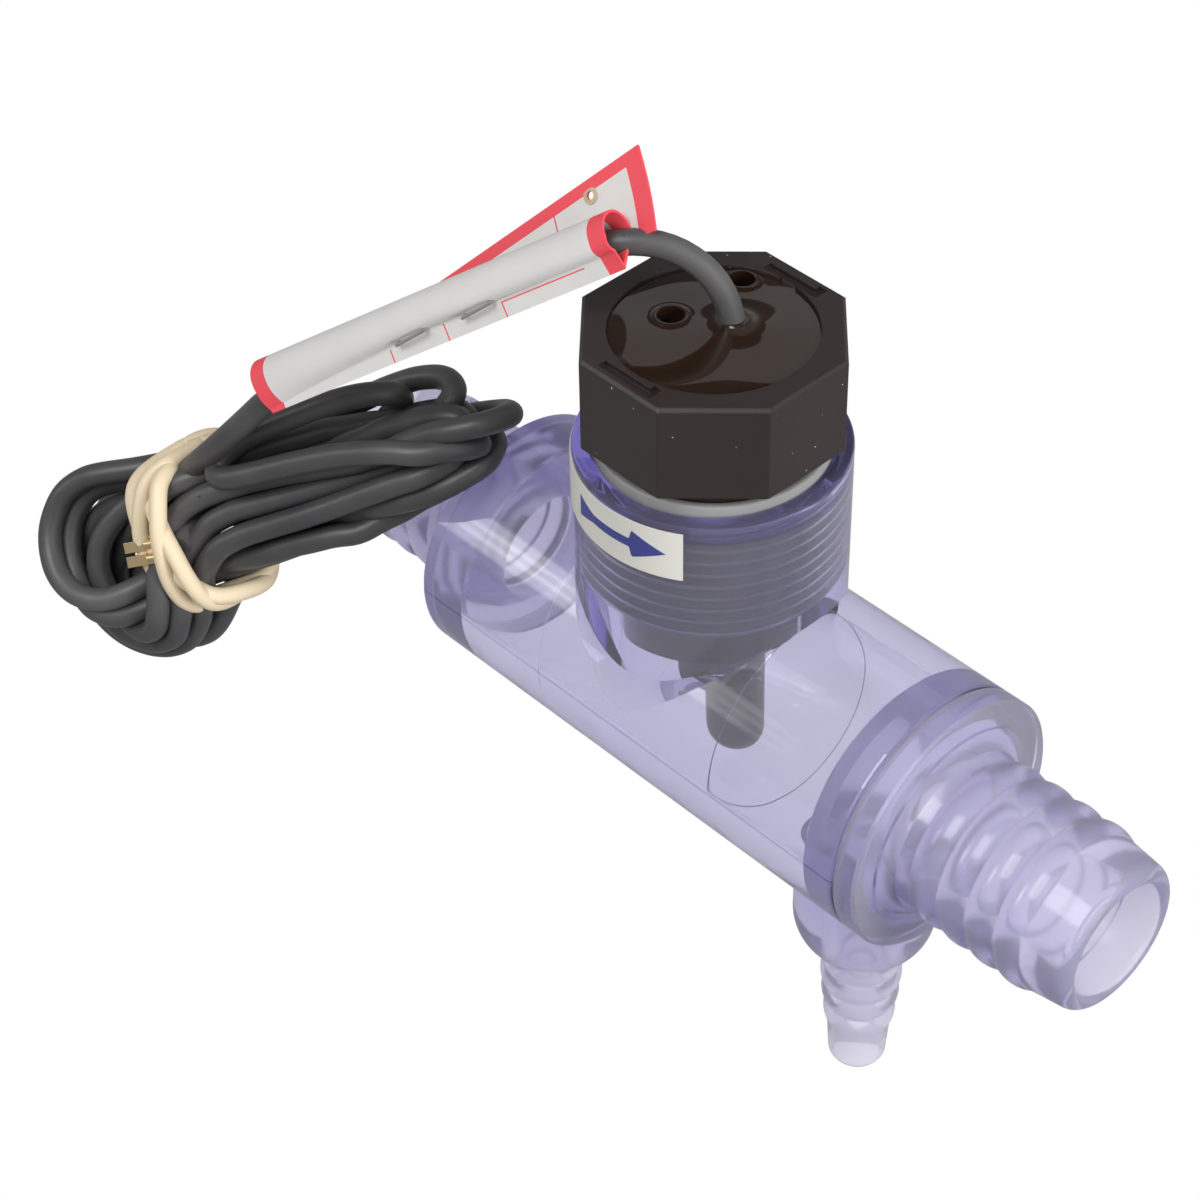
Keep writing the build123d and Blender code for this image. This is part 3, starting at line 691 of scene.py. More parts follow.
def settle_piece(piece: bpy.types.Object, finish: Finish, body: str, *nodes: str) -> bpy.types.Object:
    """Dresses a piece, puts it on its body and hides the CAD nodes that it stands for.

    Args:
        piece: The piece.
        finish: Its finish.
        body: The body it rides on.
        nodes: The CAD nodes it replaces.

    Returns:
        The piece.
    """
    piece.data.materials.clear()
    piece.data.materials.append(finish.material())
    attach(piece, body)
    if nodes:
        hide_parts(*nodes)
    LOG.info("%s: %d faces", piece.name, len(getattr(piece.data, "polygons", ())))
    return piece


@dataclass
class Tee:
    """The clear run and branch, bored, socketed and tapped.

    Args:
        run_r: Outer radius of the run.
        run_start: Inlet end of the run.
        run_end: Outlet end of the run.
        run_bore_r: Radius of the run's bore.
        socket_r: Radius of both cement sockets.
        socket_stop: Distance from the middle at which the sockets stop.
        branch_r: Outer radius of the branch.
        branch_top: Top of the branch.
        branch_bore_r: Radius of the branch's bore under the thread.
        mouth_r: Radius of the branch's open mouth.
        mouth_depth: Depth of the mouth.
        edge: Rounding of the moulded rims.
        drain_x: The drain's place along the run.
        drain_spigot_r: Radius of the drain's spigot.
        pitch: Pitch of the thread.
        turns: Turns of the thread.
        thread_depth: Depth of the thread.
        crest_r: Radius of the thread's crests at its top.
        taper: How much the thread narrows, by length.
        flat: Width of the thread's crests and roots.
        clearance: Gap between this thread and the plug's.
        cement_overlap: How far cemented pieces reach into each other.
        ring_step: Greatest distance between rings along a straight side.
        past: How far a cutter reaches past the moulding.
    """

    run_r: float = 16.6
    run_start: float = -34.5
    run_end: float = 36.0
    run_bore_r: float = 13.2
    socket_r: float = 13.4
    socket_stop: float = 14.7
    branch_r: float = 16.4
    branch_top: float = 35.2
    branch_bore_r: float = 11.0
    mouth_r: float = 14.1
    mouth_depth: float = 2.4
    edge: float = 0.45
    drain_x: float = 27.1
    drain_spigot_r: float = 5.0
    pitch: float = 25.4 / 14
    turns: int = 9
    thread_depth: float = 1.3
    crest_r: float = 13.2
    taper: float = 1 / 32
    flat: float = 0.25
    clearance: float = 0.08
    cement_overlap: float = 0.02
    ring_step: float = 2.0
    past: float = 1.0

    def stepped(self, radius: float, low: float, high: float) -> list[tuple[float, float]]:
        """Points along a straight side, close enough together for even shading."""
        count = max(1, round(abs(high - low) / self.ring_step))
        return [(radius, low + (high - low) * step / count) for step in range(count + 1)]

    def thread(self) -> list[tuple[float, float]]:
        """The tapped thread's (radius, height) points from its bottom to its top."""
        top = self.branch_top - self.mouth_depth
        bottom = top - self.turns * self.pitch
        flank = (self.pitch - 2 * self.flat) / 2
        points = []
        for turn in range(self.turns):
            base = bottom + turn * self.pitch
            for rise, cut in ((0.0, self.thread_depth), (self.flat, self.thread_depth),
                              (self.flat + flank, 0.0), (2 * self.flat + flank, 0.0)):
                level = base + rise
                crest = self.crest_r - (top - level) * self.taper
                points.append((crest - cut + self.clearance, level))
        return points

    def build(self) -> bpy.types.Object:
        """Makes the moulding from turned solids.

        Returns:
            The moulding.
        """
        rounding, past = ROUND_SHARE * self.edge, self.past
        outer = [(0.0, self.run_start), *self.stepped(self.run_r, self.run_start, self.run_end - self.edge),
                 (self.run_r - rounding, self.run_end - rounding),
                 (self.run_r - self.edge, self.run_end), (0.0, self.run_end)]
        tee = Solid("clear_tee").turn(outer, Axis.X).to_object()
        upright = [(0.0, 0.0), *self.stepped(self.branch_r, 0.0, self.branch_top - self.edge),
                   (self.branch_r - rounding, self.branch_top - rounding),
                   (self.branch_r - self.edge, self.branch_top), (0.0, self.branch_top)]
        combine(tee, Solid("branch").turn(upright, Axis.Z).to_object(), Cut.ADD)
        run_bore = [(0.0, self.run_start - past),
                    *self.stepped(self.socket_r, self.run_start - past, -self.socket_stop),
                    *self.stepped(self.run_bore_r, -self.socket_stop, self.socket_stop),
                    *self.stepped(self.socket_r, self.socket_stop, self.run_end + past),
                    (0.0, self.run_end + past)]
        combine(tee, Solid("run_bore").turn(run_bore, Axis.X).to_object(), Cut.TAKE)
        thread = self.thread()
        mouth_floor = self.branch_top - self.mouth_depth
        tapped = [(0.0, 0.0), *self.stepped(self.branch_bore_r, 0.0, thread[0][1]), *thread,
                  (self.mouth_r, mouth_floor), (self.mouth_r, self.branch_top - self.edge),
                  (self.mouth_r + self.edge, self.branch_top),
                  (self.mouth_r + self.edge, self.branch_top + past), (0.0, self.branch_top + past)]
        combine(tee, Solid("tapped").turn(tapped, Axis.Z).to_object(), Cut.TAKE)
        hole_r = self.drain_spigot_r - self.cement_overlap
        hole = [(0.0, -self.run_r - past), (hole_r, -self.run_r - past), (hole_r, 0.0), (0.0, 0.0)]
        drill = Solid("drain_hole").turn(hole, Axis.Z, centre=(self.drain_x, 0.0, 0.0)).to_object()
        combine(tee, drill, Cut.TAKE)
        sharpen(tee, 30.0)
        centre = (0.0, 0.0, 0.0)
        round_normals(tee, [(Axis.X, self.run_r, centre), (Axis.Z, self.branch_r, centre),
                            (Axis.X, self.run_bore_r, centre), (Axis.X, self.socket_r, centre),
                            (Axis.Z, self.branch_bore_r, centre)])
        return tee

    def dress(self) -> None:
        """Builds the tee and puts it in the scene."""
        settle_piece(self.build(), TEE, BODY, "tee_body")


@dataclass
class HoseBarb:
    """A ribbed hose barb cemented in one end of the run.

    Args:
        name: The piece's name.
        node: The CAD node it stands for.
        axis: The way it points.
        run_end: Distance of the run's end from the middle.
        flange: Length of the flange outside the run.
        run_r: Outer radius of the run.
        spigot_r: Radius of the spigot in the run's socket.
        spigot_length: Its length.
        hub_r: Radius of the hub outside the flange.
        hub_length: Its length.
        neck_r: Radius of the neck and of the valleys between the ribs.
        neck_length: Length of the neck.
        fillet: Points of the hub's fillet, as (distance off the neck, share of the hub's length).
        fillet_steps: How many steps it has.
        bore_r: Radius of the bore.
        rib_pitch: Distance from rib to rib.
        rib_count: How many ribs there are.
        rib_height: Height of a rib.
        rib_steps: How many steps a rib has.
        nose_length: Length of the nose past the ribs.
        nose_taper: How much narrower than the neck the nose is.
        tip_r: Radius of the tip.
        nose_round: Length of the nose's rounding.
        nose_bulge: How full the rounding is.
        nose_drop: Where it is fullest, as a share of its length from the tip.
        nose_steps: How many steps it has.
        bore_steps: How many steps the bore's rounding has.
        edge: Rounding of the rims.
        overlap: How far the flange reaches into the run's end.
    """

    name: str
    node: str
    axis: Axis
    run_end: float
    flange: float
    run_r: float = 16.6
    spigot_r: float = 13.42
    spigot_length: float = 5.9
    hub_r: float = 13.2
    hub_length: float = 1.0
    neck_r: float = 10.2
    neck_length: float = 1.6
    fillet: tuple[tuple[float, float], ...] = ((2.99, 0.4), (1.0, 0.8), (0.05, 1.4))
    fillet_steps: int = 6
    bore_r: float = 7.34
    rib_pitch: float = 4.2
    rib_count: int = 4
    rib_height: float = 0.6
    rib_steps: int = 12
    nose_length: float = 5.9
    nose_taper: float = 0.55
    tip_r: float = 8.1
    nose_round: float = 1.5
    nose_bulge: float = 0.70
    nose_drop: float = 0.35
    nose_steps: int = 10
    bore_steps: int = 5
    edge: float = 0.35
    overlap: float = 0.02

    def build(self) -> bpy.types.Object:
        """Turns the barb from its outline.

        Returns:
            The barb.
        """
        start = self.run_end - self.spigot_length
        face = self.run_end + self.flange
        outline = [(self.bore_r, start), (self.spigot_r - self.edge, start),
                   (self.spigot_r, start + self.edge), (self.spigot_r, self.run_end - self.overlap)]
        if self.flange > 0:
            outline += [(self.run_r - self.edge, self.run_end - self.overlap),
                        (self.run_r, self.run_end + self.edge), (self.run_r, face - self.edge),
                        (self.run_r - self.edge, face)]
        fillet = [(self.neck_r + off, face + share * self.hub_length) for off, share in self.fillet]
        outline += [(self.hub_r, face), *arc_points(*fillet, self.fillet_steps)]
        ribs_start = face + self.hub_length + self.neck_length
        valleys = (self.neck_r,) * (self.rib_count + 1)
        outline += rib_points(valleys, ribs_start, self.rib_pitch, self.rib_height, self.rib_steps)
        ribs_end = ribs_start + self.rib_count * self.rib_pitch
        tip = ribs_end + self.nose_length
        wide = self.neck_r - self.nose_taper
        middle = (self.tip_r + (wide - self.tip_r) * self.nose_bulge, tip - self.nose_round * self.nose_drop)
        outline.append((self.neck_r, ribs_end))
        outline += arc_points((wide, tip - self.nose_round), middle, (self.tip_r, tip), self.nose_steps)
        inner = self.tip_r - self.bore_r
        rounding = ROUND_SHARE * inner
        outline += arc_points((self.tip_r, tip), (self.bore_r + rounding, tip - rounding),
                              (self.bore_r, tip - inner), self.bore_steps)
        outline.append((self.bore_r, tip - inner))
        return Solid(self.name).turn(outline, self.axis).to_object(28.0)

    def dress(self) -> None:
        """Builds the barb and puts it in the scene."""
        settle_piece(self.build(), CLEAR, BODY, self.node)


@dataclass
class DrainBarb:
    """The small barb under the run, with its domed saddle boss and its spigot through the wall.

    Args:
        place: Its place along the run.
        run_r: Outer radius of the run.
        saddle_r: Radius that the boss's saddle is cut to.
        socket_r: Radius that the spigot is cut to.
        boss_r: Radius of the boss.
        boss_levels: Extra rings along the boss, for even shading.
        straight: Length of the boss's straight side under the run.
        dome: Height of the dome under it.
        dome_reach: How full the dome is.
        dome_drop: Where it is fullest, as a share of its height.
        dome_steps: How many steps it has.
        foot_r: Radius at the dome's foot.
        spigot_r: Radius of the spigot.
        spigot_end: Where the spigot ends inside the boss.
        bore_r: Radius of the bore.
        rib_pitch: Distance from rib to rib.
        rib_height: Height of a rib.
        rib_steps: How many steps a rib has.
        valleys: Radii between the ribs.
        nose_length: Length of the nose past the ribs.
        tip_r: Radius of the tip.
        tip_round: Length of the tip's rounding.
        tip_bulge: How full the rounding is.
        tip_drop: Where it is fullest, as a share of its length from the tip.
        tip_steps: How many steps it has.
        tip_chamfer: Depth of the bore's chamfer.
        inside: Where the turned outline starts, inside the run.
    """

    place: float = 27.1
    run_r: float = 16.6
    saddle_r: float = 16.58
    socket_r: float = 13.4
    boss_r: float = 8.85
    boss_levels: tuple[float, ...] = (14.0, 17.0, 20.0)
    straight: float = 6.0
    dome: float = 6.6
    dome_reach: float = 0.80
    dome_drop: float = 0.55
    dome_steps: int = 18
    foot_r: float = 4.85
    spigot_r: float = 5.0
    spigot_end: float = 17.2
    bore_r: float = 2.9
    rib_pitch: float = 3.6
    rib_height: float = 0.34
    rib_steps: int = 10
    valleys: tuple[float, ...] = (4.85, 4.85, 4.72, 4.35, 4.02)
    nose_length: float = 6.4
    tip_r: float = 3.3
    tip_round: float = 1.2
    tip_bulge: float = 0.7
    tip_drop: float = 0.35
    tip_steps: int = 8
    tip_chamfer: float = 0.2
    inside: float = 10.0

    def build(self) -> bpy.types.Object:
        """Makes the barb from a turned outline, fitted to the run.

        Returns:
            The barb.
        """
        straight = self.run_r + self.straight
        foot = straight + self.dome
        outline = [(self.bore_r, self.inside), (self.boss_r, self.inside)]
        outline += [(self.boss_r, level) for level in self.boss_levels]
        full_r = self.foot_r + (self.boss_r - self.foot_r) * self.dome_reach
        outline += arc_points((self.boss_r, straight), (full_r, straight + self.dome * self.dome_drop),
                              (self.foot_r, foot), self.dome_steps)
        outline += rib_points(self.valleys, foot, self.rib_pitch, self.rib_height, self.rib_steps)
        last = foot + (len(self.valleys) - 1) * self.rib_pitch
        tip = last + self.nose_length
        shoulder_r = self.valleys[-1] - self.rib_height
        outline.append((self.valleys[-1], last))
        outline += arc_points((shoulder_r, tip - self.tip_round),
                              (self.tip_r + (shoulder_r - self.tip_r) * self.tip_bulge,
                               tip - self.tip_drop * self.tip_round),
                              (self.tip_r, tip), self.tip_steps)
        outline += [(self.tip_r, tip), (self.bore_r, tip - self.tip_chamfer)]
        centre = (self.place, 0.0, 0.0)
        barb = Solid("clear_drain_barb").turn(outline, Axis.MINUS_Z, 128, centre).to_object(28.0)
        combine(barb, self.run_plug(self.saddle_r), Cut.TAKE)
        spigot = [(self.bore_r, self.inside), (self.spigot_r, self.inside), (self.spigot_r, self.spigot_end),
                  (self.bore_r, self.spigot_end)]
        neck = Solid("drain_neck").turn(spigot, Axis.MINUS_Z, 128, centre).to_object(28.0)
        combine(neck, self.run_plug(self.socket_r), Cut.TAKE)
        combine(barb, neck, Cut.ADD)
        sharpen(barb, 28.0)
        return barb

    def run_plug(self, radius: float) -> bpy.types.Object:
        """A round bar along the run, for cutting the barb to the run's shape."""
        reach = 2 * self.boss_r
        bar = [(0.0, self.place - reach), (radius, self.place - reach), (radius, self.place + reach),
               (0.0, self.place + reach)]
        return Solid("run_plug").turn(bar, Axis.X, 256).to_object()

    def dress(self) -> None:
        """Builds the barb and puts it in the scene."""
        settle_piece(self.build(), CLEAR, BODY, "drain_barb")


@dataclass
class Plug:
    """The sealing ring and the resin in the black plug's cup.

    Args:
        cup_r: Radius of the cup.
        cup_bottom: Floor of the cup.
        well_r: Radius of the well under the cup.
        well_bottom: Floor of the well.
        level: Height of the resin at the cup's wall.
        crown: Rise of the resin to its middle.
        crown_power: How flat its middle is.
        swell: Height of its slow waves.
        swell_power: How flat the waves' bound is.
        waves: The waves' turns by length, across and up the plan.
        phases: The waves' starts.
        climb: How far it climbs up the cable.
        climb_reach: How far from the cable the climb fades.
        foot: Where the cable comes out, in plan.
        cable_r: Radius of the cable.
        vents: The two blind holes' places.
        vent_r: Their radius.
        vent_depth: Their depth.
        vent_round: Rounding of their floors.
        lip: Height of their lips.
        lip_off: Distance of a lip's crest from the hole's wall.
        lip_reach: Half width of a lip.
        lip_span: Heights over the resin's level between which a hole widens to its lip.
        cutter_top: How far a hole's cutter reaches over the resin's level.
        ring_inner_r: Inner radius of the sealing ring.
        ring_outer_r: Its outer radius.
        ring_bottom: Its foot.
        ring_height: Its height.
        ring_soft: Rounding of its corners.
        rings: Rings of the resin's surface.
        segments: Facets round the resin.
    """

    cup_r: float = 12.1
    cup_bottom: float = 41.4
    well_r: float = 5.2
    well_bottom: float = 13.0
    level: float = 50.5
    crown: float = 0.5
    crown_power: float = 2.2
    swell: float = 0.10
    swell_power: int = 4
    waves: tuple[float, float] = (0.42, 0.35)
    phases: tuple[float, float] = (0.9, -0.4)
    climb: float = 0.75
    climb_reach: float = 0.8
    foot: tuple[float, float] = (1.5, 2.2)
    cable_r: float = 1.55
    vents: tuple[tuple[float, float], ...] = ((-4.9, -1.9), (-4.3, 8.8))
    vent_r: float = 1.6
    vent_depth: float = 4.0
    vent_round: float = 0.3
    lip: float = 0.22
    lip_off: float = 0.25
    lip_reach: float = 0.42
    lip_span: tuple[float, float] = (0.55, 1.1)
    cutter_top: float = 4.0
    ring_inner_r: float = 12.95
    ring_outer_r: float = 14.05
    ring_bottom: float = 32.86
    ring_height: float = 3.44
    ring_soft: float = 0.3
    rings: int = 60
    segments: int = 160

    def height(self, x: float, y: float) -> float:
        """The resin's height at a place, with its climb up the cable and the lips of its holes."""
        share = min(1.0, math.hypot(x, y) / self.cup_r)
        level = self.level + self.crown * (1 - share ** self.crown_power)
        level += self.swell * math.sin(self.waves[0] * x + self.phases[0]) * math.cos(
            self.waves[1] * y + self.phases[1]) * (1 - share ** self.swell_power)
        off_cable = max(0.0, math.hypot(x - self.foot[0], y - self.foot[1]) - self.cable_r)
        level += self.climb * math.exp(-off_cable / self.climb_reach)
        for vx, vy in self.vents:
            off_lip = (math.hypot(x - vx, y - vy) - self.vent_r - self.lip_off) / self.lip_reach
            level += self.lip * math.exp(-off_lip * off_lip)
        return level

    def resin(self) -> bpy.types.Object:
        """Makes the resin that fills the cup and the well.

        Returns:
            The resin.
        """
        solid = Solid("resin_fill")
        verts = solid.mesh.verts
        rings = [[verts.new((0.0, 0.0, self.height(0.0, 0.0)))]]
        for ring in range(1, self.rings + 1):
            radius = self.cup_r * ring / self.rings
            rings.append([])
            for step in range(self.segments):
                angle = 2 * math.pi * step / self.segments
                x, y = radius * math.cos(angle), radius * math.sin(angle)
                rings[-1].append(verts.new((x, y, self.height(x, y))))
        for radius, level in ((self.cup_r, self.cup_bottom), (self.well_r, self.cup_bottom),
                              (self.well_r, self.well_bottom)):
            rings.append([verts.new((radius * math.cos(2 * math.pi * step / self.segments),
                                     radius * math.sin(2 * math.pi * step / self.segments), level))
                          for step in range(self.segments)])
        rings.append([verts.new((0.0, 0.0, self.well_bottom))])
        for first, second in zip(rings, rings[1:]):
            solid.bridge(first, second)
        fill = solid.to_object()
        floor, top = self.level - self.vent_depth, self.level + self.cutter_top
        lip_r = self.vent_r + self.lip_off
        lip_low, lip_high = (self.level + rise for rise in self.lip_span)
        hole = [(0.0, floor), (self.vent_r - self.vent_round, floor), (self.vent_r, floor + self.vent_round),
                (self.vent_r, lip_low), (lip_r, lip_high), (lip_r, top), (0.0, top)]
        for x, y in self.vents:
            combine(fill, Solid("vent").turn(hole, Axis.Z, 64, (x, y, 0.0)).to_object(), Cut.TAKE)
        sharpen(fill, 40.0)
        return fill

    def ring(self) -> bpy.types.Object:
        """Makes the sealing ring, with rounded shoulders."""
        low, high = self.ring_bottom, self.ring_bottom + self.ring_height
        soft, rounding = self.ring_soft, ROUND_SHARE * self.ring_soft
        outline = [(self.ring_inner_r, low), (self.ring_outer_r - soft, low), (self.ring_outer_r, low + soft),
                   (self.ring_outer_r, high - soft), (self.ring_outer_r - rounding, high - rounding),
                   (self.ring_outer_r - soft, high), (self.ring_inner_r + soft, high),
                   (self.ring_inner_r + rounding, high - rounding), (self.ring_inner_r, high - soft)]
        return Solid("mouth_ring").turn(outline, Axis.Z).to_object(50.0)

    def dress(self) -> None:
        """Builds the ring and the resin and puts them in the scene."""
        settle_piece(self.ring(), RING, BODY, "sealing_ring")
        settle_piece(self.resin(), RESIN, BODY, "potting_compound")


@dataclass
class FlowLabel:
    """The pale label round the branch's front, with its printed arrow.

    Args:
        radius: Radius of the branch.
        thickness: Thickness of the label.
        top: Its upper edge.
        height: Its height.
        start: The angle of its end towards the outlet, in degrees.
        length: Its length round the branch.
        ink_half: How far the printed arrow stands off the label, to both sides of its face.
        rise: How far the arrow lies over the label's middle.
        head_tip: The tip's distance from the label's end.
        head_length: Length of the arrow's head.
        head_half: Half width of the head.
        barb_share: Where the head's barbs end, as a share of its length.
        tip_half: Half width of the tip.
        shaft_half: Half width of the shaft.
        tail: The tail's distance from the label's end.
        flare: Length of the tail's flare.
        flare_half: How much wider it gets to each side.
        steps: Steps round the branch.
    """

    radius: float = 16.42
    thickness: float = 0.14
    top: float = 34.1
    height: float = 6.8
    start: float = -56.5
    length: float = 27.0
    ink_half: float = 0.02
    rise: float = 0.1
    head_tip: float = 2.0
    head_length: float = 4.3
    head_half: float = 1.95
    barb_share: float = 1.12
    tip_half: float = 0.02
    shaft_half: float = 0.62
    tail: float = 15.5
    flare: float = 3.0
    flare_half: float = 0.9
    steps: int = 96

    def patch(self, name: str, outline: list[tuple[float, float, float]], inner: float,
              outer: float) -> bpy.types.Object:
        """Makes a closed curved patch between two radii.

        Args:
            name: The piece's name.
            outline: Stations as (distance from the label's end, low height, high height).
            inner: Inner radius.
            outer: Outer radius.

        Returns:
            The patch.
        """
        solid = Solid(name)
        loops = []
        for distance, low, high in outline:
            angle = math.radians(self.start) - distance / self.radius
            loop = []
            for radius, level in ((inner, low), (outer, low), (outer, high), (inner, high)):
                loop.append(solid.mesh.verts.new((radius * math.cos(angle), radius * math.sin(angle), level)))
            loops.append(loop)
        for first, second in zip(loops, loops[1:]):
            solid.bridge(first, second)
        solid.mesh.faces.new(loops[0])
        solid.mesh.faces.new(loops[-1])
        return solid.to_object()

    def arrow(self) -> list[tuple[float, float, float]]:
        """The arrow's stations, from its tip to its notched tail."""
        middle = self.top - self.height / 2 + self.rise
        stations = []
        for step in range(self.steps + 1):
            distance = self.head_tip + (self.tail - self.head_tip) * step / self.steps
            past_tip = distance - self.head_tip
            barb = self.head_length * self.barb_share
            half = self.shaft_half
            if past_tip < self.head_length:
                half = self.head_half * past_tip / self.head_length
            elif past_tip < barb:
                half = self.head_half * (barb - past_tip) / (barb - self.head_length)
            left = self.tail - distance
            if left < self.flare:
                half = self.shaft_half + self.flare_half * (self.flare - left) / self.flare
            half = max(half, self.tip_half if past_tip < self.head_length else self.shaft_half)
            stations.append((distance, middle - half, middle + half))
        return stations

    def dress(self) -> None:
        """Builds the label and its arrow and puts them in the scene."""
        outer = self.radius + self.thickness
        plain = [(self.length * step / self.steps, self.top - self.height, self.top)
                 for step in range(self.steps + 1)]
        settle_piece(self.patch("flow_sticker", plain, self.radius, outer), LABEL, BODY, "flow_label")
        arrow = self.patch("flow_arrow", self.arrow(), outer - self.ink_half, outer + self.ink_half)
        settle_piece(arrow, INK, BODY)


@dataclass(frozen=True)
class HankTurn:
    """One turn of the lead round the hank, in the hank's own frame.

    Places are (along, rise, front): along the hank from its right end, up across it, and towards the viewer.

    Args:
        lobe: Middle of the left lobe, along and rise.
        lobe_size: Its reach to the left and its half height.
        lobe_front: Front of the lobe at its crown and at its foot.
        knee: Where the strand bends from the lobe into the front of the hank.
        near: Rise and front of the front strand, beside the knee and at its right end.
        tip: How far right the turn reaches, as a place along.
        far: Rise and front of the returning strand, at its right end and at its left end.
        back: How far left the returning strand runs before the next lobe, as a place along.
    """

    lobe: tuple[float, float]
    lobe_size: tuple[float, float]
    lobe_front: tuple[float, float]
    knee: Point
    near: tuple[tuple[float, float], tuple[float, float]]
    tip: float
    far: tuple[tuple[float, float], tuple[float, float]]
    back: float = 46.0


@dataclass
class Lead:
    """The two-core lead: out of the resin, through the tag and round the hank.

    Args:
        radius: Radius of the jacket.
        route: The points of its free stretch.
        right: Right end of the hank's axis.
        left: Left end of the hank's axis.
        side: The way across the hank, away from the viewer.
        turns: The hank's turns, in order.
        end: Where the jacket is cut.
        tail: The last places before the cut, off it in the hank's frame.
        free: How many points of the route stand fast.
        lobe_degrees: Angles of the places round a lobe.
        knee_gap: How far past the knee, to the right, the front strand starts.
        tip_gap: How far before its tip a turn's straight stretches end.
        near_power: How late the front strand falls to its right end.
        spacing: Distance between the strands' points.
        rounds: How often the strands push.
        skip: How many neighbours along the lead a point doesn't push.
        slack: Least gap between strands.
        shove: How strongly close strands push.
        home: How strongly a point is pulled back to its place across the view.
        home_deep: The same along the view.
        stiffness: How strongly the lead straightens.
        stretch: How strongly its length is kept.
        keep_off: The run and its barb as (place along X from which it reaches to the right, radius).
        run_gap: Gap that is kept from them.
        run_push: How strongly they push.
        sides: Facets round a quarter of the jacket.
    """

    radius: float = 1.55
    route: tuple[Point, ...] = (
        (1.5, 2.2, 44.5),
        (1.5, 2.2, 50.0),
        (-0.7, 1.4, 56.8),
        (-5.3, -2.3, 61.1),
        (-10.5, -7.5, 61.0),
        (-17.0, -11.4, 55.7),
        (-30.2, -16.4, 45.1),
        (-47.8, -24.6, 30.5),
        (-55.6, -28.3, 19.8),
        (-68.9, -30.1, 4.2),
    )
    right: Point = (-29.0, -5.2, 24.8)
    left: Point = (-82.9, -40.1, -5.9)
    side: Point = (-0.272, 0.837, -0.475)
    turns: tuple[HankTurn, ...] = (
        HankTurn((56.8, -8.2), (8.9, 8.0), (2.2, 0.0), (50.6, -4.2, 4.4),
                 ((0.2, 4.6), (-0.6, 3.6)), -1.6, ((1.0, -3.2), (3.2, -2.4))),
        HankTurn((61.3, -2.4), (8.2, 8.7), (1.8, 3.0), (51.5, -7.6, 3.0),
                 ((-9.7, 1.6), (-6.5, -0.5)), 5.6, ((-3.0, -5.0), (-2.6, -4.6))),
        HankTurn((60.0, -4.0), (8.4, 9.5), (1.0, 3.0), (51.4, -9.6, 0.6),
                 ((-9.6, -0.6), (-6.1, 1.2)), 4.0, ((0.0, -6.2), (0.4, -5.4))),
        HankTurn((56.4, -9.0), (11.4, 8.6), (-1.6, -1.2), (49.2, -6.4, 4.4),
                 ((-3.2, 4.3), (-2.4, 0.9)), 3.6, ((2.2, 3.0), (0.6, -0.4))),
        HankTurn((57.0, -8.2), (13.2, 10.4), (-1.8, -2.8), (47.2, -8.4, 4.0),
                 ((-6.5, 4.4), (-3.9, 2.6)), 4.4, ((3.2, -2.2), (3.6, 3.9))),
        HankTurn((55.2, -9.6), (11.4, 8.8), (-3.9, -5.0), (45.6, -9.8, -1.9),
                 ((-7.4, -2.8), (1.6, -0.8)), 5.4, ((7.6, -2.2), (3.4, -0.9))),
        HankTurn((60.0, -2.6), (8.0, 6.2), (-5.0, -6.0), (47.0, -8.6, -4.2),
                 ((-5.0, -4.6), (3.6, -2.0)), 12.5, ((7.4, 4.6), (5.4, 6.0)), 36.5),
        HankTurn((38.8, 3.2), (3.0, 2.0), (6.4, 6.4), (37.0, 1.3, 6.2),
                 ((1.0, 6.0), (-0.6, 3.8)), 4.0, ((-3.0, -4.6), (-5.4, -4.4))),
    )
    end: Point = (-60.6, -35.1, 2.4)
    tail: tuple[Point, ...] = ((-4.5, 7.5, -6.5), (-2.0, 4.5, -6.0), (-1.0, 1.6, -3.2))
    free: int = 7
    lobe_degrees: tuple[int, ...] = (80, 55, 30, 5, -20, -45, -70, -95)
    knee_gap: float = 4.5
    tip_gap: float = 6.0
    near_power: float = 1.5
    spacing: float = 3.0
    rounds: int = 420
    skip: int = 5
    slack: float = 0.06
    shove: float = 0.24
    home: float = 0.09
    home_deep: float = 0.012
    stiffness: float = 0.38
    stretch: float = 0.10
    keep_off: tuple[tuple[float, float], ...] = ((-36.0, 16.6), (-61.0, 10.8))
    run_gap: float = 0.25
    run_push: float = 0.5
    sides: int = 8

    def axes(self) -> np.ndarray:
        """The hank's own axes, as rows: along, rise and front."""
        along = np.subtract(self.left, self.right)
        along = along / np.linalg.norm(along)
        rise = np.cross(self.side, along)
        rise = rise / np.linalg.norm(rise)
        if rise[2] < 0:
            rise = -rise
        return np.array([along, rise, np.cross(along, rise) * -1])

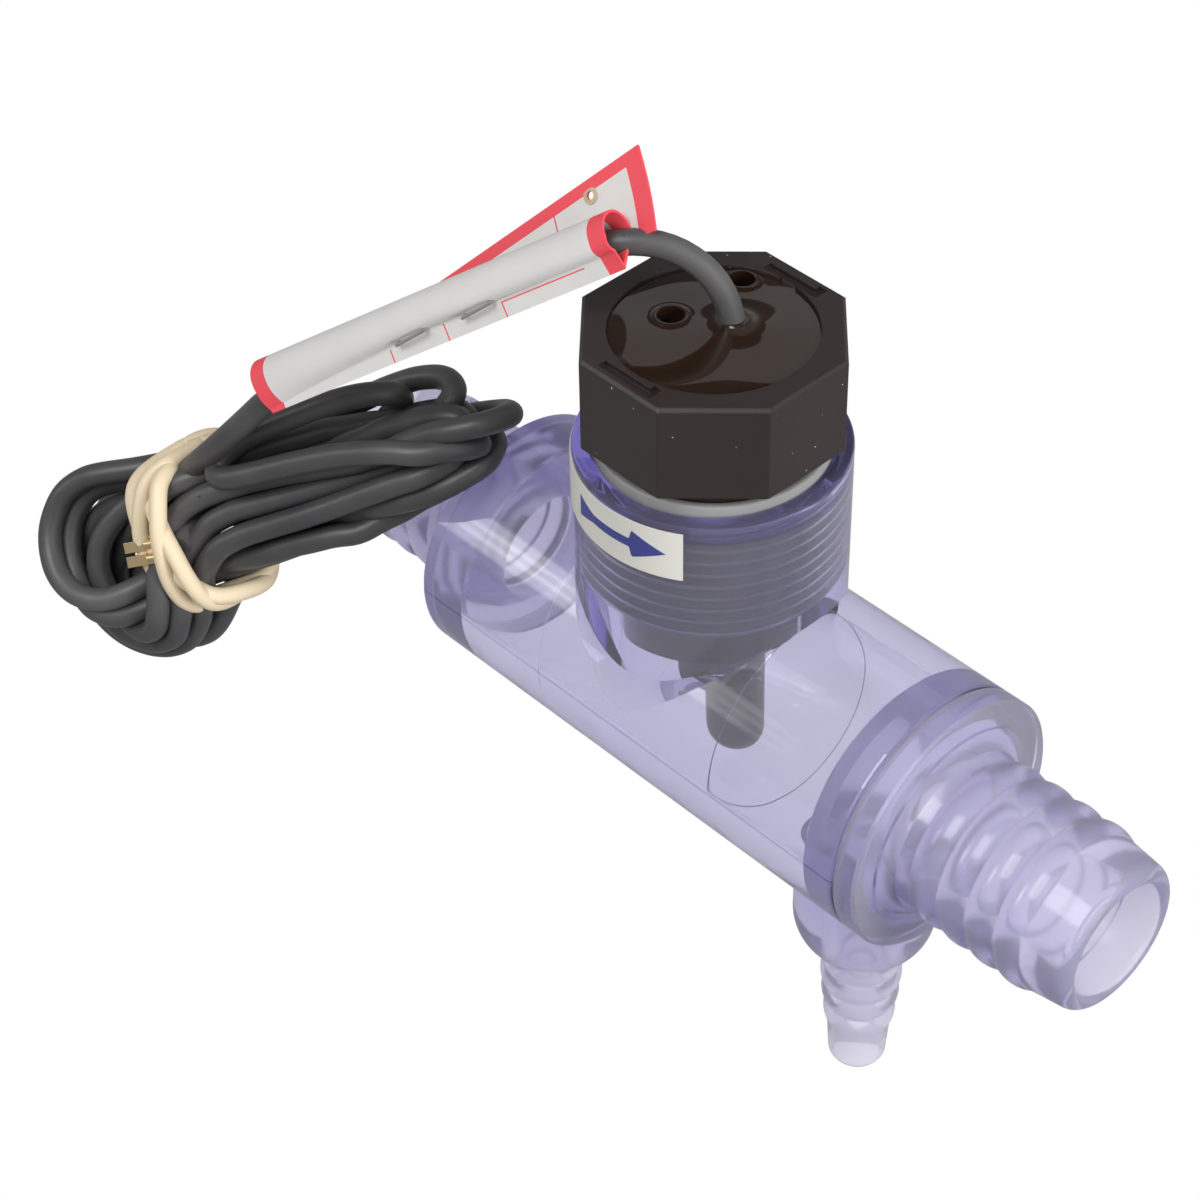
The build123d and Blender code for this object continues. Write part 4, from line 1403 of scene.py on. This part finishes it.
    def turn_points(self, turn: HankTurn) -> list[Point]:
        """The places of one turn: down the left lobe, up to the knee, right along the front and back.

        Args:
            turn: The turn's sizes.

        Returns:
            Its places in the hank's frame.
        """
        (along, rise), (reach, half) = turn.lobe, turn.lobe_size
        points = []
        first, last = self.lobe_degrees[0], self.lobe_degrees[-1]
        for degrees in self.lobe_degrees:
            share = (first - degrees) / (first - last)
            angle = math.radians(degrees)
            front = turn.lobe_front[0] + (turn.lobe_front[1] - turn.lobe_front[0]) * share
            points.append((along + reach * math.cos(angle), rise + half * math.sin(angle), front))
        points.append(turn.knee)
        (near_rise, near_front), (tip_rise, tip_front) = turn.near
        start, stop = turn.knee[0] - self.knee_gap, turn.tip + self.tip_gap
        for share in EVEN_SHARES:
            points.append((start + (stop - start) * share,
                           near_rise + (tip_rise - near_rise) * share ** self.near_power,
                           near_front + (tip_front - near_front) * share))
        (back_rise, back_front), (band_rise, band_front) = turn.far
        points.append((turn.tip, (tip_rise + back_rise) / 2, (tip_front + back_front) / 2))
        for share in EVEN_SHARES:
            points.append((stop + (turn.back - stop) * share, back_rise + (band_rise - back_rise) * share,
                           back_front + (band_front - back_front) * share))
        return points

    def loops(self) -> np.ndarray:
        """The whole hank's places in the part's frame, before its strands settle."""
        places = []
        for turn in self.turns:
            places += self.turn_points(turn)
        axes = self.axes()
        points = np.array(places) @ axes + np.array(self.right)
        last = axes @ (np.array(self.end) - np.array(self.right))
        tail = [*(last + np.array(place) for place in self.tail), last]
        return np.vstack([points, np.array(tail) @ axes + np.array(self.right)])

    @staticmethod
    def spaced(points: np.ndarray, step: float) -> np.ndarray:
        """Points at even steps along a path.

        Args:
            points: The path's points.
            step: The step's length.

        Returns:
            The new points, the ends kept.
        """
        runs = np.linalg.norm(np.diff(points, axis=0), axis=1)
        reach = np.concatenate([[0.0], np.cumsum(runs)])
        count = int(round(reach[-1] / step))
        at = np.linspace(0.0, reach[-1], count + 1)
        return np.stack([np.interp(at, reach, points[:, part]) for part in range(3)], axis=1)

    def settled(self) -> np.ndarray:
        """Lets the hank's strands push each other apart, as round cables that don't cross.

        Returns:
            The hank's points from the end of the free stretch to the cut end.
        """
        entry = self.spaced(np.array(self.route[self.free:]), self.spacing)
        hank = self.spaced(np.vstack([entry[-1:], self.loops()]), self.spacing)
        points = np.vstack([entry[:-1], hank])
        held = len(entry)
        target = points.copy()
        view = -self.axes()[2]
        first, second = np.triu_indices(len(points), self.skip)
        apart = 2 * self.radius + self.slack
        for _ in range(self.rounds):
            push = np.zeros_like(points)
            gap = points[first] - points[second]
            distance = np.linalg.norm(gap, axis=1) + 1e-9
            close = distance < apart
            shove = gap[close] / distance[close, None] * ((apart - distance[close]) * self.shove)[:, None]
            np.add.at(push, first[close], shove)
            np.add.at(push, second[close], -shove)
            stray = target - points
            deep = (stray @ view)[:, None] * view
            push += self.home * (stray - deep) + self.home_deep * deep
            bend = np.zeros_like(points)
            bend[1:-1] = (points[2:] + points[:-2]) / 2 - points[1:-1]
            stiff = np.zeros_like(points)
            stiff[1:-1] = bend[1:-1] - (bend[2:] + bend[:-2]) / 2
            push += self.stiffness * stiff
            run = points[1:] - points[:-1]
            size = np.linalg.norm(run, axis=1)[:, None]
            pull = (size - self.spacing) * run / size * self.stretch
            push[:-1] += pull
            push[1:] -= pull
            push += self.off_run(points)
            push[:held] = 0.0
            push[-1] = 0.0
            points = points + push
        return points[held - 1:]

    def off_run(self, points: np.ndarray) -> np.ndarray:
        """The push that keeps the hank off the run and its inlet barb.

        Args:
            points: The strands' points.

        Returns:
            A push for each point.
        """
        distance = np.hypot(points[:, 1], points[:, 2])
        (run_start, run_r), (barb_start, barb_r) = self.keep_off
        solid = np.where(points[:, 0] > run_start, run_r, np.where(points[:, 0] > barb_start, barb_r, 0.0))
        limit = solid + self.radius + self.run_gap
        short = np.clip(limit - distance, 0.0, None)
        push = np.zeros_like(points)
        push[:, 1:] = points[:, 1:] / distance[:, None] * short[:, None] * self.run_push
        return push

    def control_points(self) -> np.ndarray:
        """All control points of the lead, in millimetres: its free stretch, then its hank."""
        return np.vstack([np.array(self.route[:-1]), self.settled()])

    def build(self, controls: np.ndarray) -> bpy.types.Object:
        """Makes the lead as a round curve.

        Args:
            controls: Its control points.

        Returns:
            The lead.
        """
        data = bpy.data.curves.new("lead", "CURVE")
        data.dimensions = "3D"
        data.resolution_u = 5
        data.bevel_depth = self.radius * MM
        data.bevel_resolution = self.sides
        data.use_fill_caps = True
        spline = data.splines.new("NURBS")
        spline.points.add(len(controls) - 1)
        for point, place in zip(spline.points, controls):
            point.co = (*(place * MM), 1.0)
        spline.order_u = 3
        spline.use_endpoint_u = True
        lead = bpy.data.objects.new("lead", data)
        bpy.context.scene.collection.objects.link(lead)
        return lead

    @staticmethod
    def length(controls: np.ndarray) -> float:
        """The length of the quadratic spline with those control points, in millimetres."""
        middles = (controls[1:] + controls[:-1]) / 2
        starts = np.vstack([controls[:1], middles[1:-1]])
        ends = np.vstack([middles[1:-1], controls[-1:]])
        inner = controls[1:-1]
        total = 0.0
        shares = np.linspace(0.0, 1.0, 17)
        for start, corner, end in zip(starts, inner, ends):
            line = [(1 - t) ** 2 * start + 2 * t * (1 - t) * corner + t * t * end for t in shares]
            total += float(np.linalg.norm(np.diff(np.array(line), axis=0), axis=1).sum())
        return total


@dataclass
class RubberBand:
    """The twisted rubber band round the hank's waist.

    Args:
        share: Its place along the hank.
        tilt: How far its front leans along the hank, in degrees.
        strands: How many strands it has.
        strand_r: Radius of one strand.
        width: Half width of the strands together.
        height: Half thickness of their twist.
        twists: Turns of the twist round the loop.
        sides: Facets round one strand.
        lift: How far it lies above the hank's axis.
        sink: Share of a strand's radius that stands off the lead.
        steps: Places round the loop.
        rounds: How often the loop is smoothed.
    """

    share: float = 0.67
    tilt: float = -25.0
    strands: int = 4
    strand_r: float = 1.15
    width: float = 3.1
    height: float = 0.5
    twists: float = 1.5
    sides: int = 16
    lift: float = -3.1
    sink: float = 0.8
    steps: int = 180
    rounds: int = 40

    def plane(self, lead: Lead) -> tuple[np.ndarray, np.ndarray, np.ndarray, np.ndarray]:
        """The band's plane: its middle, its two directions and its normal.

        Args:
            lead: The lead whose hank it holds.

        Returns:
            The middle, the rise, the way across and the normal.
        """
        along, rise, front = lead.axes()
        turn = math.radians(self.tilt)
        middle = np.array(lead.right) + (np.array(lead.left) - np.array(lead.right)) * self.share
        across = -front * math.cos(turn) + along * math.sin(turn)
        normal = along * math.cos(turn) + front * math.sin(turn)
        return middle + rise * self.lift, rise, across, normal

    def path(self, lead: Lead, controls: np.ndarray) -> np.ndarray:
        """The loop that lies on the outermost strands where they pass through the band.

        Args:
            lead: The lead.
            controls: The lead's points.

        Returns:
            The loop's points in the part's frame.
        """
        middle, rise, across, normal = self.plane(lead)
        spots = controls[len(lead.route):]
        height = (spots - middle) @ normal
        flat = np.stack([(spots - middle) @ rise, (spots - middle) @ across], axis=1)
        crossings = []
        for place in range(len(spots) - 1):
            if height[place] * height[place + 1] <= 0:
                mix = height[place] / (height[place] - height[place + 1] + 1e-12)
                crossings.append(flat[place] * (1 - mix) + flat[place + 1] * mix)
        crossings = np.array(crossings)
        centre = (crossings.max(axis=0) + crossings.min(axis=0)) / 2
        angles = np.linspace(0.0, 2 * math.pi, self.steps + 1)[:-1]
        ways = np.stack([np.cos(angles), np.sin(angles)], axis=1)
        off = lead.radius + self.strand_r * self.sink
        support = ((crossings - centre) @ ways.T).max(axis=0) + off
        loop = []
        for place, way in enumerate(ways):
            facing = ways @ way
            ahead = facing > 0.05
            loop.append(way * (support[ahead] / facing[ahead]).min())
        flat_loop = np.array(loop)
        for _ in range(self.rounds):
            flat_loop = (np.roll(flat_loop, 1, 0) + 2 * flat_loop + np.roll(flat_loop, -1, 0)) / 4
        flat_loop = flat_loop + centre
        return middle + flat_loop[:, :1] * rise + flat_loop[:, 1:] * across

    def tree(self, normal: np.ndarray, material: bpy.types.Material) -> bpy.types.GeometryNodeTree:
        """Builds the nodes that lay the twisted strands along a loop.

        Args:
            normal: The band's axis.
            material: The strands' material.

        Returns:
            The node tree.
        """
        tree = bpy.data.node_groups.new("twisted_strands", "GeometryNodeTree")
        face = tree.interface
        face.new_socket("Geometry", in_out="INPUT", socket_type="NodeSocketGeometry")
        for name, value in (("Strand Radius", self.strand_r * MM), ("Half Width", self.width * MM),
                            ("Half Height", self.height * MM), ("Twists", self.twists)):
            face.new_socket(name, in_out="INPUT", socket_type="NodeSocketFloat").default_value = value
        face.new_socket("Geometry", in_out="OUTPUT", socket_type="NodeSocketGeometry")
        kit = NodeKit(tree)
        sizes, leave = kit.add("NodeGroupInput").outputs, kit.add("NodeGroupOutput")
        curve = kit.add("GeometryNodeMeshToCurve", Mesh=sizes["Geometry"]).outputs["Curve"]
        factor = kit.add("GeometryNodeSplineParameter").outputs["Factor"]
        tangent = kit.add("GeometryNodeInputTangent").outputs["Tangent"]
        axis = tuple(float(part) for part in normal)
        outward = kit.vector("CROSS_PRODUCT", tangent, axis)
        profile = kit.add("GeometryNodeCurvePrimitiveCircle", Resolution=self.sides,
                          Radius=sizes["Strand Radius"])
        joined = kit.add("GeometryNodeJoinGeometry")
        for strand in range(self.strands):
            turn = kit.math("MULTIPLY", kit.math("MULTIPLY", factor, sizes["Twists"]), 2 * math.pi)
            turn = kit.math("ADD", turn, 2 * math.pi * strand / self.strands)
            wide = kit.scaled(axis, kit.math("MULTIPLY", kit.math("COSINE", turn), sizes["Half Width"]))
            high = kit.scaled(outward, kit.math("MULTIPLY", kit.math("SINE", turn), sizes["Half Height"]))
            move = kit.add("GeometryNodeSetPosition", Geometry=curve, Offset=kit.vector("ADD", wide, high))
            tube = kit.add("GeometryNodeCurveToMesh", Curve=move.outputs["Geometry"],
                           Profile_Curve=profile.outputs["Curve"])
            kit.join(tube.outputs["Mesh"], joined.inputs["Geometry"])
        real = kit.add("GeometryNodeRealizeInstances", Geometry=joined.outputs["Geometry"])
        smooth = kit.add("GeometryNodeSetShadeSmooth", Geometry=real.outputs["Geometry"])
        finish = kit.add("GeometryNodeSetMaterial", Geometry=smooth.outputs["Geometry"], Material=material)
        kit.join(finish.outputs["Geometry"], leave.inputs["Geometry"])
        return tree

    def build(self, lead: Lead, controls: np.ndarray) -> bpy.types.Object:
        """Makes the band round the hank.

        Args:
            lead: The lead.
            controls: The lead's points.

        Returns:
            The band.
        """
        loop = self.path(lead, controls) * MM
        count = len(loop)
        data = bpy.data.meshes.new("band_loop")
        edges = [(step, (step + 1) % count) for step in range(count)]
        data.from_pydata([tuple(place) for place in loop], edges, [])
        band = bpy.data.objects.new("twisted_band", data)
        bpy.context.scene.collection.objects.link(band)
        modifier = band.modifiers.new("strands", "NODES")
        modifier.node_group = self.tree(self.plane(lead)[3], BAND.material())
        graph = bpy.context.evaluated_depsgraph_get()
        strands = bpy.data.meshes.new_from_object(band.evaluated_get(graph))
        band.modifiers.clear()
        band.data = strands
        outward_faces(band)
        return band


def outward_faces(piece: bpy.types.Object) -> None:
    """Turns a closed piece's faces outward."""
    mesh = bmesh.new()
    mesh.from_mesh(piece.data)
    bmesh.ops.recalc_face_normals(mesh, faces=mesh.faces)
    for face in mesh.faces:
        face.smooth = True
    mesh.to_mesh(piece.data)
    mesh.free()


@dataclass
class Tag:
    """The paper tag: a sleeve folded round the cable and the flap that stands up behind it.

    Args:
        top: Upper end of its axis.
        bottom: Lower end of its axis.
        front: The way its front faces.
        paper: Thickness of the paper.
        depth: Half depth of the sleeve.
        shoulder: Height at which its roll starts.
        crest: Height of the roll.
        fold: Front and height of the fold under it.
        crease: How deep the front panel is pressed in.
        crease_at: Where the crease lies between the fold and the shoulder.
        crease_bend: The place along the tag past which the crease runs down to the fold.
        flap_start: Upper end of the flap, along the tag.
        flap_end: Its lower end.
        flap_rise: Its height at the upper end.
        flap_lean: How far it leans back, in degrees.
        flap_bow: How far it bows.
        hole: The flap's hole, up and along.
        hole_r: Its radius.
        ring: Width and outer and inner thickness of the ring round the hole.
        along_steps: Steps along the sleeve.
        flap_steps: Steps along the flap and up it.
    """

    top: Point = (-8.0, -6.7, 62.4)
    bottom: Point = (-50.4, -25.8, 28.9)
    front: Point = (0.55, -0.50, 0.67)
    paper: float = 0.32
    depth: float = 2.6
    shoulder: float = 0.5
    crest: float = 3.3
    fold: tuple[float, float] = (0.7, -3.5)
    crease: float = 0.75
    crease_at: float = 0.52
    crease_bend: float = 0.5
    flap_start: float = -3.3
    flap_end: float = 47.9
    flap_rise: float = 9.4
    flap_lean: float = 10.0
    flap_bow: float = 0.35
    hole: tuple[float, float] = (6.2, 4.7)
    hole_r: float = 0.5
    ring: Point = (0.5, 0.06, 0.1)
    along_steps: int = 48
    flap_steps: tuple[int, int] = (36, 10)

    def frame_matrix(self) -> Matrix:
        """The tag's frame: local X to the front, Y up and Z down the cable."""
        top = Vector(self.top)
        along = (Vector(self.bottom) - top).normalized()
        down = Vector(self.front).cross(along).normalized()
        across = along.cross(down)
        up = along.cross(across)
        matrix = Matrix((across, up, along)).transposed().to_4x4()
        matrix.translation = top
        return matrix

    def flap_matrix(self) -> Matrix:
        """The flap's frame: the tag's, moved to its back and leant."""
        lean = Matrix.Rotation(math.radians(self.flap_lean), 4, "Z")
        return self.frame_matrix() @ Matrix.Translation((-self.depth, 0.0, 0.0)) @ lean

    def outline(self, inset: float, share: float) -> list[tuple[float, float]]:
        """The sleeve's outline, set in by a distance: a flat panel from the fold to a crease, then the roll.

        Args:
            inset: How far inside the paper's outer face.
            share: Place along the tag, 0 at its upper end.

        Returns:
            Points in the tag's frame.
        """
        depth = self.depth - inset
        fold = (self.fold[0], self.fold[1] + 2 * inset)
        front = (depth, self.shoulder)
        back = (-depth, self.shoulder)
        press = self.crease * math.sin(math.pi * share) ** 0.6
        past = max(0.0, (share - self.crease_bend) / (1 - self.crease_bend))
        panel = self.crease_at * (1 - 0.8 * past ** 1.5)
        pinch = (fold[0] + (front[0] - fold[0]) * panel - press,
                 fold[1] + (front[1] - fold[1]) * panel + 0.3 * press)
        points = []
        for step in range(8):
            mix = step / 8
            points.append((fold[0] + (pinch[0] - fold[0]) * mix, fold[1] + (pinch[1] - fold[1]) * mix))
        belly = ((pinch[0] + front[0]) / 2 + 0.30 + 0.2 * press, (pinch[1] + front[1]) / 2 - 0.30)
        points += arc_points(pinch, belly, front, 12)
        points += arc_points(front, (0.0, self.crest - inset), back, 28)
        for step in range(11):
            mix = step / 11
            points.append((back[0] + (fold[0] - back[0]) * mix, back[1] + (fold[1] - back[1]) * mix))
        return points

    def sleeve(self) -> bpy.types.Object:
        """Makes the sleeve, with its map in millimetres: across it from the fold, and along it."""
        solid = Solid("tag_sleeve")
        matrix = self.frame_matrix()
        length = (Vector(self.bottom) - Vector(self.top)).length
        layer = solid.mesh.loops.layers.uv.new("UVMap")
        middle = self.outline(0.0, 0.5)
        reach = [0.0]
        for near, far in zip(middle, middle[1:] + middle[:1]):
            reach.append(reach[-1] + math.dist(near, far))
        grids = []
        for inset in (0.0, self.paper):
            grid = []
            for step in range(self.along_steps + 1):
                share = step / self.along_steps
                grid.append([solid.mesh.verts.new(matrix @ Vector((x, y, length * share)))
                             for x, y in self.outline(inset, share)])
            grids.append(grid)
        count = len(middle)
        for grid in grids:
            for step in range(self.along_steps):
                for place in range(count):
                    after = (place + 1) % count
                    face = solid.mesh.faces.new((grid[step][place], grid[step][after],
                                                 grid[step + 1][after], grid[step + 1][place]))
                    spots = ((reach[place], step), (reach[place + 1], step), (reach[place + 1], step + 1),
                             (reach[place], step + 1))
                    for loop, (across, row) in zip(face.loops, spots):
                        loop[layer].uv = (across, length * row / self.along_steps)
        for row, level in ((0, 0.0), (-1, length)):
            for place in range(count):
                after = (place + 1) % count
                face = solid.mesh.faces.new((grids[0][row][place], grids[0][row][after],
                                             grids[1][row][after], grids[1][row][place]))
                for loop in face.loops:
                    loop[layer].uv = (reach[place], level)
        return solid.to_object(45.0)

    def flap(self) -> bpy.types.Object:
        """Makes the flap, with its map in millimetres from its slanting top edge and its upper end."""
        solid = Solid("tag_flap")
        matrix = self.flap_matrix()
        layer = solid.mesh.loops.layers.uv.new("UVMap")
        rows, columns = self.flap_steps
        sheets = []
        for thickness in (self.paper, 0.0):
            sheet = []
            for row in range(rows + 1):
                share = row / rows
                level = self.flap_start + (self.flap_end - self.flap_start) * share
                height = self.flap_rise + (self.shoulder - self.flap_rise) * share
                line = []
                for column in range(columns + 1):
                    up = -self.shoulder + (height + self.shoulder) * column / columns
                    bow = self.flap_bow * math.sin(math.pi * column / columns) * (1 - share)
                    line.append((solid.mesh.verts.new(matrix @ Vector((thickness - bow, up, level))),
                                 (height - up, level - self.flap_start)))
                sheet.append(line)
            sheets.append(sheet)

        def panel(corners: list[tuple[bmesh.types.BMVert, tuple[float, float]]]) -> None:
            """Adds a face with its places on the map."""
            face = solid.mesh.faces.new([vert for vert, _ in corners])
            for loop, (_, spot) in zip(face.loops, corners):
                loop[layer].uv = spot

        for sheet in sheets:
            for row in range(rows):
                for column in range(columns):
                    panel([sheet[row][column], sheet[row][column + 1], sheet[row + 1][column + 1],
                           sheet[row + 1][column]])
        for column in range(columns):
            for row in (0, rows):
                panel([sheets[0][row][column], sheets[0][row][column + 1], sheets[1][row][column + 1],
                       sheets[1][row][column]])
        for row in range(rows):
            for column in (0, columns):
                panel([sheets[0][row][column], sheets[0][row + 1][column], sheets[1][row + 1][column],
                       sheets[1][row][column]])
        flap = solid.to_object(45.0)
        up, level = self.hole
        punch = Solid("punch").turn([(0.0, -3.0), (self.hole_r, -3.0), (self.hole_r, 3.0), (0.0, 3.0)],
                                    Axis.X, 48).to_object()
        punch.data.transform(Matrix.Scale(1 / MM, 4))
        punch.data.transform(matrix @ Matrix.Translation((0.0, up, level)))
        punch.data.transform(Matrix.Scale(MM, 4))
        return combine(flap, punch, Cut.TAKE)

    def eyelet(self) -> bpy.types.Object:
        """Makes the pale ring round the flap's hole."""
        solid = Solid("tag_eyelet")
        width, rim, inner = self.ring
        outline = [(self.hole_r, 0.0), (self.hole_r + width, 0.0), (self.hole_r + width, rim),
                   (self.hole_r, inner)]
        solid.turn(outline, Axis.X, 48)
        up, level = self.hole
        bow = self.flap_bow * math.sin(math.pi * (up + self.shoulder) / (self.flap_rise + self.shoulder))
        place = Matrix.Translation((self.paper - bow * 0.6, up, level))
        matrix = self.flap_matrix() @ place
        bmesh.ops.transform(solid.mesh, matrix=matrix, verts=solid.mesh.verts)
        return solid.to_object()

    def dress(self) -> list[bpy.types.Object]:
        """Builds the tag's pieces and puts them in the scene.

        Returns:
            The pieces.
        """
        return [settle_piece(self.sleeve(), SLEEVE, BODY, "tag"), settle_piece(self.flap(), FLAP, BODY),
                settle_piece(self.eyelet(), EYELET, BODY)]


@dataclass
class Studio:
    """The camera, the white surroundings and the soft boxes.

    The camera stands where the part was seen from: turned from the front and raised, with a slight roll.

    Args:
        place: The camera's place, in metres.
        turn: How far it is turned from the front, in degrees.
        raised: How far it looks down, in degrees.
        roll: Its roll, in degrees.
        lens: Its focal length on a sensor 36 mm wide.
        room_levels: The surroundings' light on the camera's side and on the far side.
        through_levels: The same as seen through clear plastic.
        room_span: The cosines between which one side's light passes into the other's.
        glows: Soft spots as (direction, strength, cosines at the edge and where it is full). They show as
            streaks on glossy walls, and one that takes light away keeps the resin dark.
        boxes: Soft boxes as (name, direction, distance, size, power, whether it shows in glossy surfaces).
    """

    place: Point = (0.1980, -0.2001, 0.2622)
    turn: float = 47.426
    raised: float = 41.855
    roll: float = -1.266
    lens: float = 93.9
    room_levels: tuple[float, float] = (0.28, 0.38)
    through_levels: tuple[float, float] = (0.60, 0.86)
    room_span: tuple[float, float] = (-0.35, 0.6)
    glows: tuple[tuple[Point, float, tuple[float, float]], ...] = (
        ((-0.582, -0.632, 0.512), 4.0, (0.9920, 0.9990)),
        ((-0.582, -0.697, 0.419), 4.0, (0.9920, 0.9990)),
        ((-0.582, -0.748, 0.318), 4.0, (0.9920, 0.9990)),
        ((1.0, 0.10, 0.45), 1.2, (0.72, 0.97)),
        ((-0.494, 0.522, 0.694), -0.26, (0.80, 0.96)),
    )
    boxes: tuple[tuple[str, Point, float, tuple[float, float], float, bool], ...] = (
        ("key_box", (0.05, -0.75, 1.0), 0.9, (0.5, 0.5), 4.6, True),
        ("resin_box", (-0.50, 0.56, 0.67), 0.6, (0.22, 0.15), 0.045, True),
        ("right_box", (1.0, 0.10, 0.35), 0.9, (0.25, 0.5), 6.0, False),
    )

    def axes(self) -> tuple[Vector, Vector, Vector]:
        """The camera's right, up and back."""
        turn, raised, roll = (math.radians(angle) for angle in (self.turn, self.raised, self.roll))
        back = Vector((math.sin(turn) * math.cos(raised), -math.cos(turn) * math.cos(raised),
                       math.sin(raised)))
        right = Vector((math.cos(turn), math.sin(turn), 0.0))
        up = back.cross(right)
        rolled = up * math.cos(roll) - right * math.sin(roll)
        return right * math.cos(roll) + up * math.sin(roll), rolled, back

    def camera(self) -> None:
        """Sets the camera."""
        data = bpy.data.cameras.new("camera")
        data.lens = self.lens
        data.sensor_width = 36.0
        data.clip_start = 0.01
        data.clip_end = 10.0
        camera = bpy.data.objects.new("camera", data)
        bpy.context.scene.collection.objects.link(camera)
        right, up, back = self.axes()
        matrix = Matrix((right, up, back)).transposed().to_4x4()
        matrix.translation = Vector(self.place)
        camera.matrix_world = matrix
        bpy.context.scene.camera = camera

    def surroundings(self) -> None:
        """A white sweep behind the part, and a darker room on the camera's side."""
        world = bpy.data.worlds.new("studio")
        bpy.context.scene.world = world
        world.use_nodes = True
        kit = NodeKit(world.node_tree)
        kit.tree.nodes.clear()
        output = kit.add("ShaderNodeOutputWorld")
        rays = kit.add("ShaderNodeLightPath").outputs
        way = kit.add("ShaderNodeTexCoord").outputs["Generated"]
        lit = self.room(kit, way, self.room_levels)
        for direction, strength, span in self.glows:
            near = self.ramp(kit, self.facing(kit, way, direction), span, (0.0, strength))
            lit = kit.math("ADD", lit, near)
        through = self.room(kit, way, self.through_levels)
        seen = self.choose(kit, rays["Is Transmission Ray"], lit, through)
        seen = self.choose(kit, rays["Is Camera Ray"], seen, 1.0)
        background = kit.add("ShaderNodeBackground", Color=(1.0, 1.0, 1.0, 1.0), Strength=seen)
        kit.join(background.outputs[0], output.inputs["Surface"])

    def room(self, kit: NodeKit, way: bpy.types.NodeSocket,
             levels: tuple[float, float]) -> bpy.types.NodeSocket:
        """The room's strength, from the camera's side to the side that the camera looks at.

        Args:
            kit: The world's nodes.
            way: The direction looked in.
            levels: Strength on the camera's side and on the far side.

        Returns:
            The strength.
        """
        return self.ramp(kit, self.facing(kit, way, tuple(-self.axes()[2])), self.room_span, levels)

    @staticmethod
    def facing(kit: NodeKit, way: bpy.types.NodeSocket, direction: Point) -> bpy.types.NodeSocket:
        """The cosine between the direction looked in and a given direction."""
        return kit.vector("DOT_PRODUCT", way, Vector(direction).normalized()).node.outputs["Value"]

    @staticmethod
    def ramp(kit: NodeKit, value: bpy.types.NodeSocket, span: tuple[float, float],
             levels: tuple[float, float]) -> bpy.types.NodeSocket:
        """A soft step from one level to another.

        Args:
            kit: The world's nodes.
            value: The value that it follows.
            span: Where the step starts and ends.
            levels: The two levels.

        Returns:
            The level.
        """
        node = kit.add("ShaderNodeMapRange", Value=value, From_Min=span[0], From_Max=span[1],
                       To_Min=levels[0], To_Max=levels[1])
        node.interpolation_type = "SMOOTHSTEP"
        return node.outputs["Result"]

    @staticmethod
    def choose(kit: NodeKit, mask: bpy.types.NodeSocket, first: object,
               second: object) -> bpy.types.NodeSocket:
        """Takes the second value where the mask is 1, and the first elsewhere."""
        node = kit.add("ShaderNodeMix")
        for place, value in enumerate((mask, None, first, second)):
            if value is not None:
                kit.fill(node.inputs[place], value)
        return node.outputs[0]

    @staticmethod
    def soft_box(name: str, way: Point, distance: float, size: tuple[float, float], power: float,
                 mirrored: bool) -> None:
        """Adds a soft box that faces the part.

        Args:
            name: Its name.
            way: The direction it stands in.
            distance: How far away it stands, in metres.
            size: Its width and height, in metres.
            power: Its power, in watts.
            mirrored: Whether it shows in glossy and clear surfaces.
        """
        data = bpy.data.lights.new(name, "AREA")
        data.shape = "RECTANGLE"
        data.size, data.size_y = size
        data.energy = power
        light = bpy.data.objects.new(name, data)
        bpy.context.scene.collection.objects.link(light)
        direction = Vector(way).normalized()
        light.location = direction * distance
        light.rotation_euler = direction.to_track_quat("Z", "Y").to_euler()
        light.visible_glossy = mirrored
        light.visible_transmission = mirrored

    def build(self) -> None:
        """Sets the camera, the surroundings and the lights."""
        self.camera()
        self.surroundings()
        for box in self.boxes:
            self.soft_box(*box)


def dress_inner_nodes() -> None:
    """Finishes the CAD nodes that are shown as they are."""
    nodes = frame["nodes"]
    finishes = {
        "plug_body": BLACK, "paddle": BLACK, "paddle_magnet": MAGNET, "pivot_pin": STEEL,
        "reed_glass": GLASS, "reed_blades": STEEL, "lead_splices": SOLDER, "splice_sleeves": SLEEVING,
        "cable_cores": CORE, "core_conductors": COPPER, "tag_staples": STEEL, "end_cores": CORE,
        "contact_pins": GOLD,
    }
    for name, finish in finishes.items():
        piece = nodes[name]
        piece.data.materials.clear()
        piece.data.materials.append(finish.material())
        LOG.info("%s finished as %s", name, finish.slot.value)


def main() -> None:
    """Builds the scene, piece by piece."""
    logging.basicConfig(level=logging.INFO, format="%(name)s: %(message)s")
    Studio().build()
    lead = Lead()
    controls = lead.control_points()
    cable = settle_piece(lead.build(controls), JACKET, BODY, "cable", "cable_hank")
    band = settle_piece(RubberBand().build(lead, controls), BAND, BODY, "rubber_band")
    tag_pieces = Tag().dress()
    Tee().dress()
    HoseBarb("clear_outlet_barb", "outlet_barb", Axis.X, 36.0, 3.4).dress()
    HoseBarb("clear_inlet_barb", "inlet_barb", Axis.MINUS_X, 34.5, 0.0).dress()
    DrainBarb().dress()
    Plug().dress()
    FlowLabel().dress()
    dress_inner_nodes()
    length = lead.length(controls) * MM
    LOG.info("lead: %.3f m", length)
    tuple(part * MM for part in lead.route[0])
    bpy.context.scene.view_settings.view_transform = "Standard"


if __name__ == "__main__":
    main()
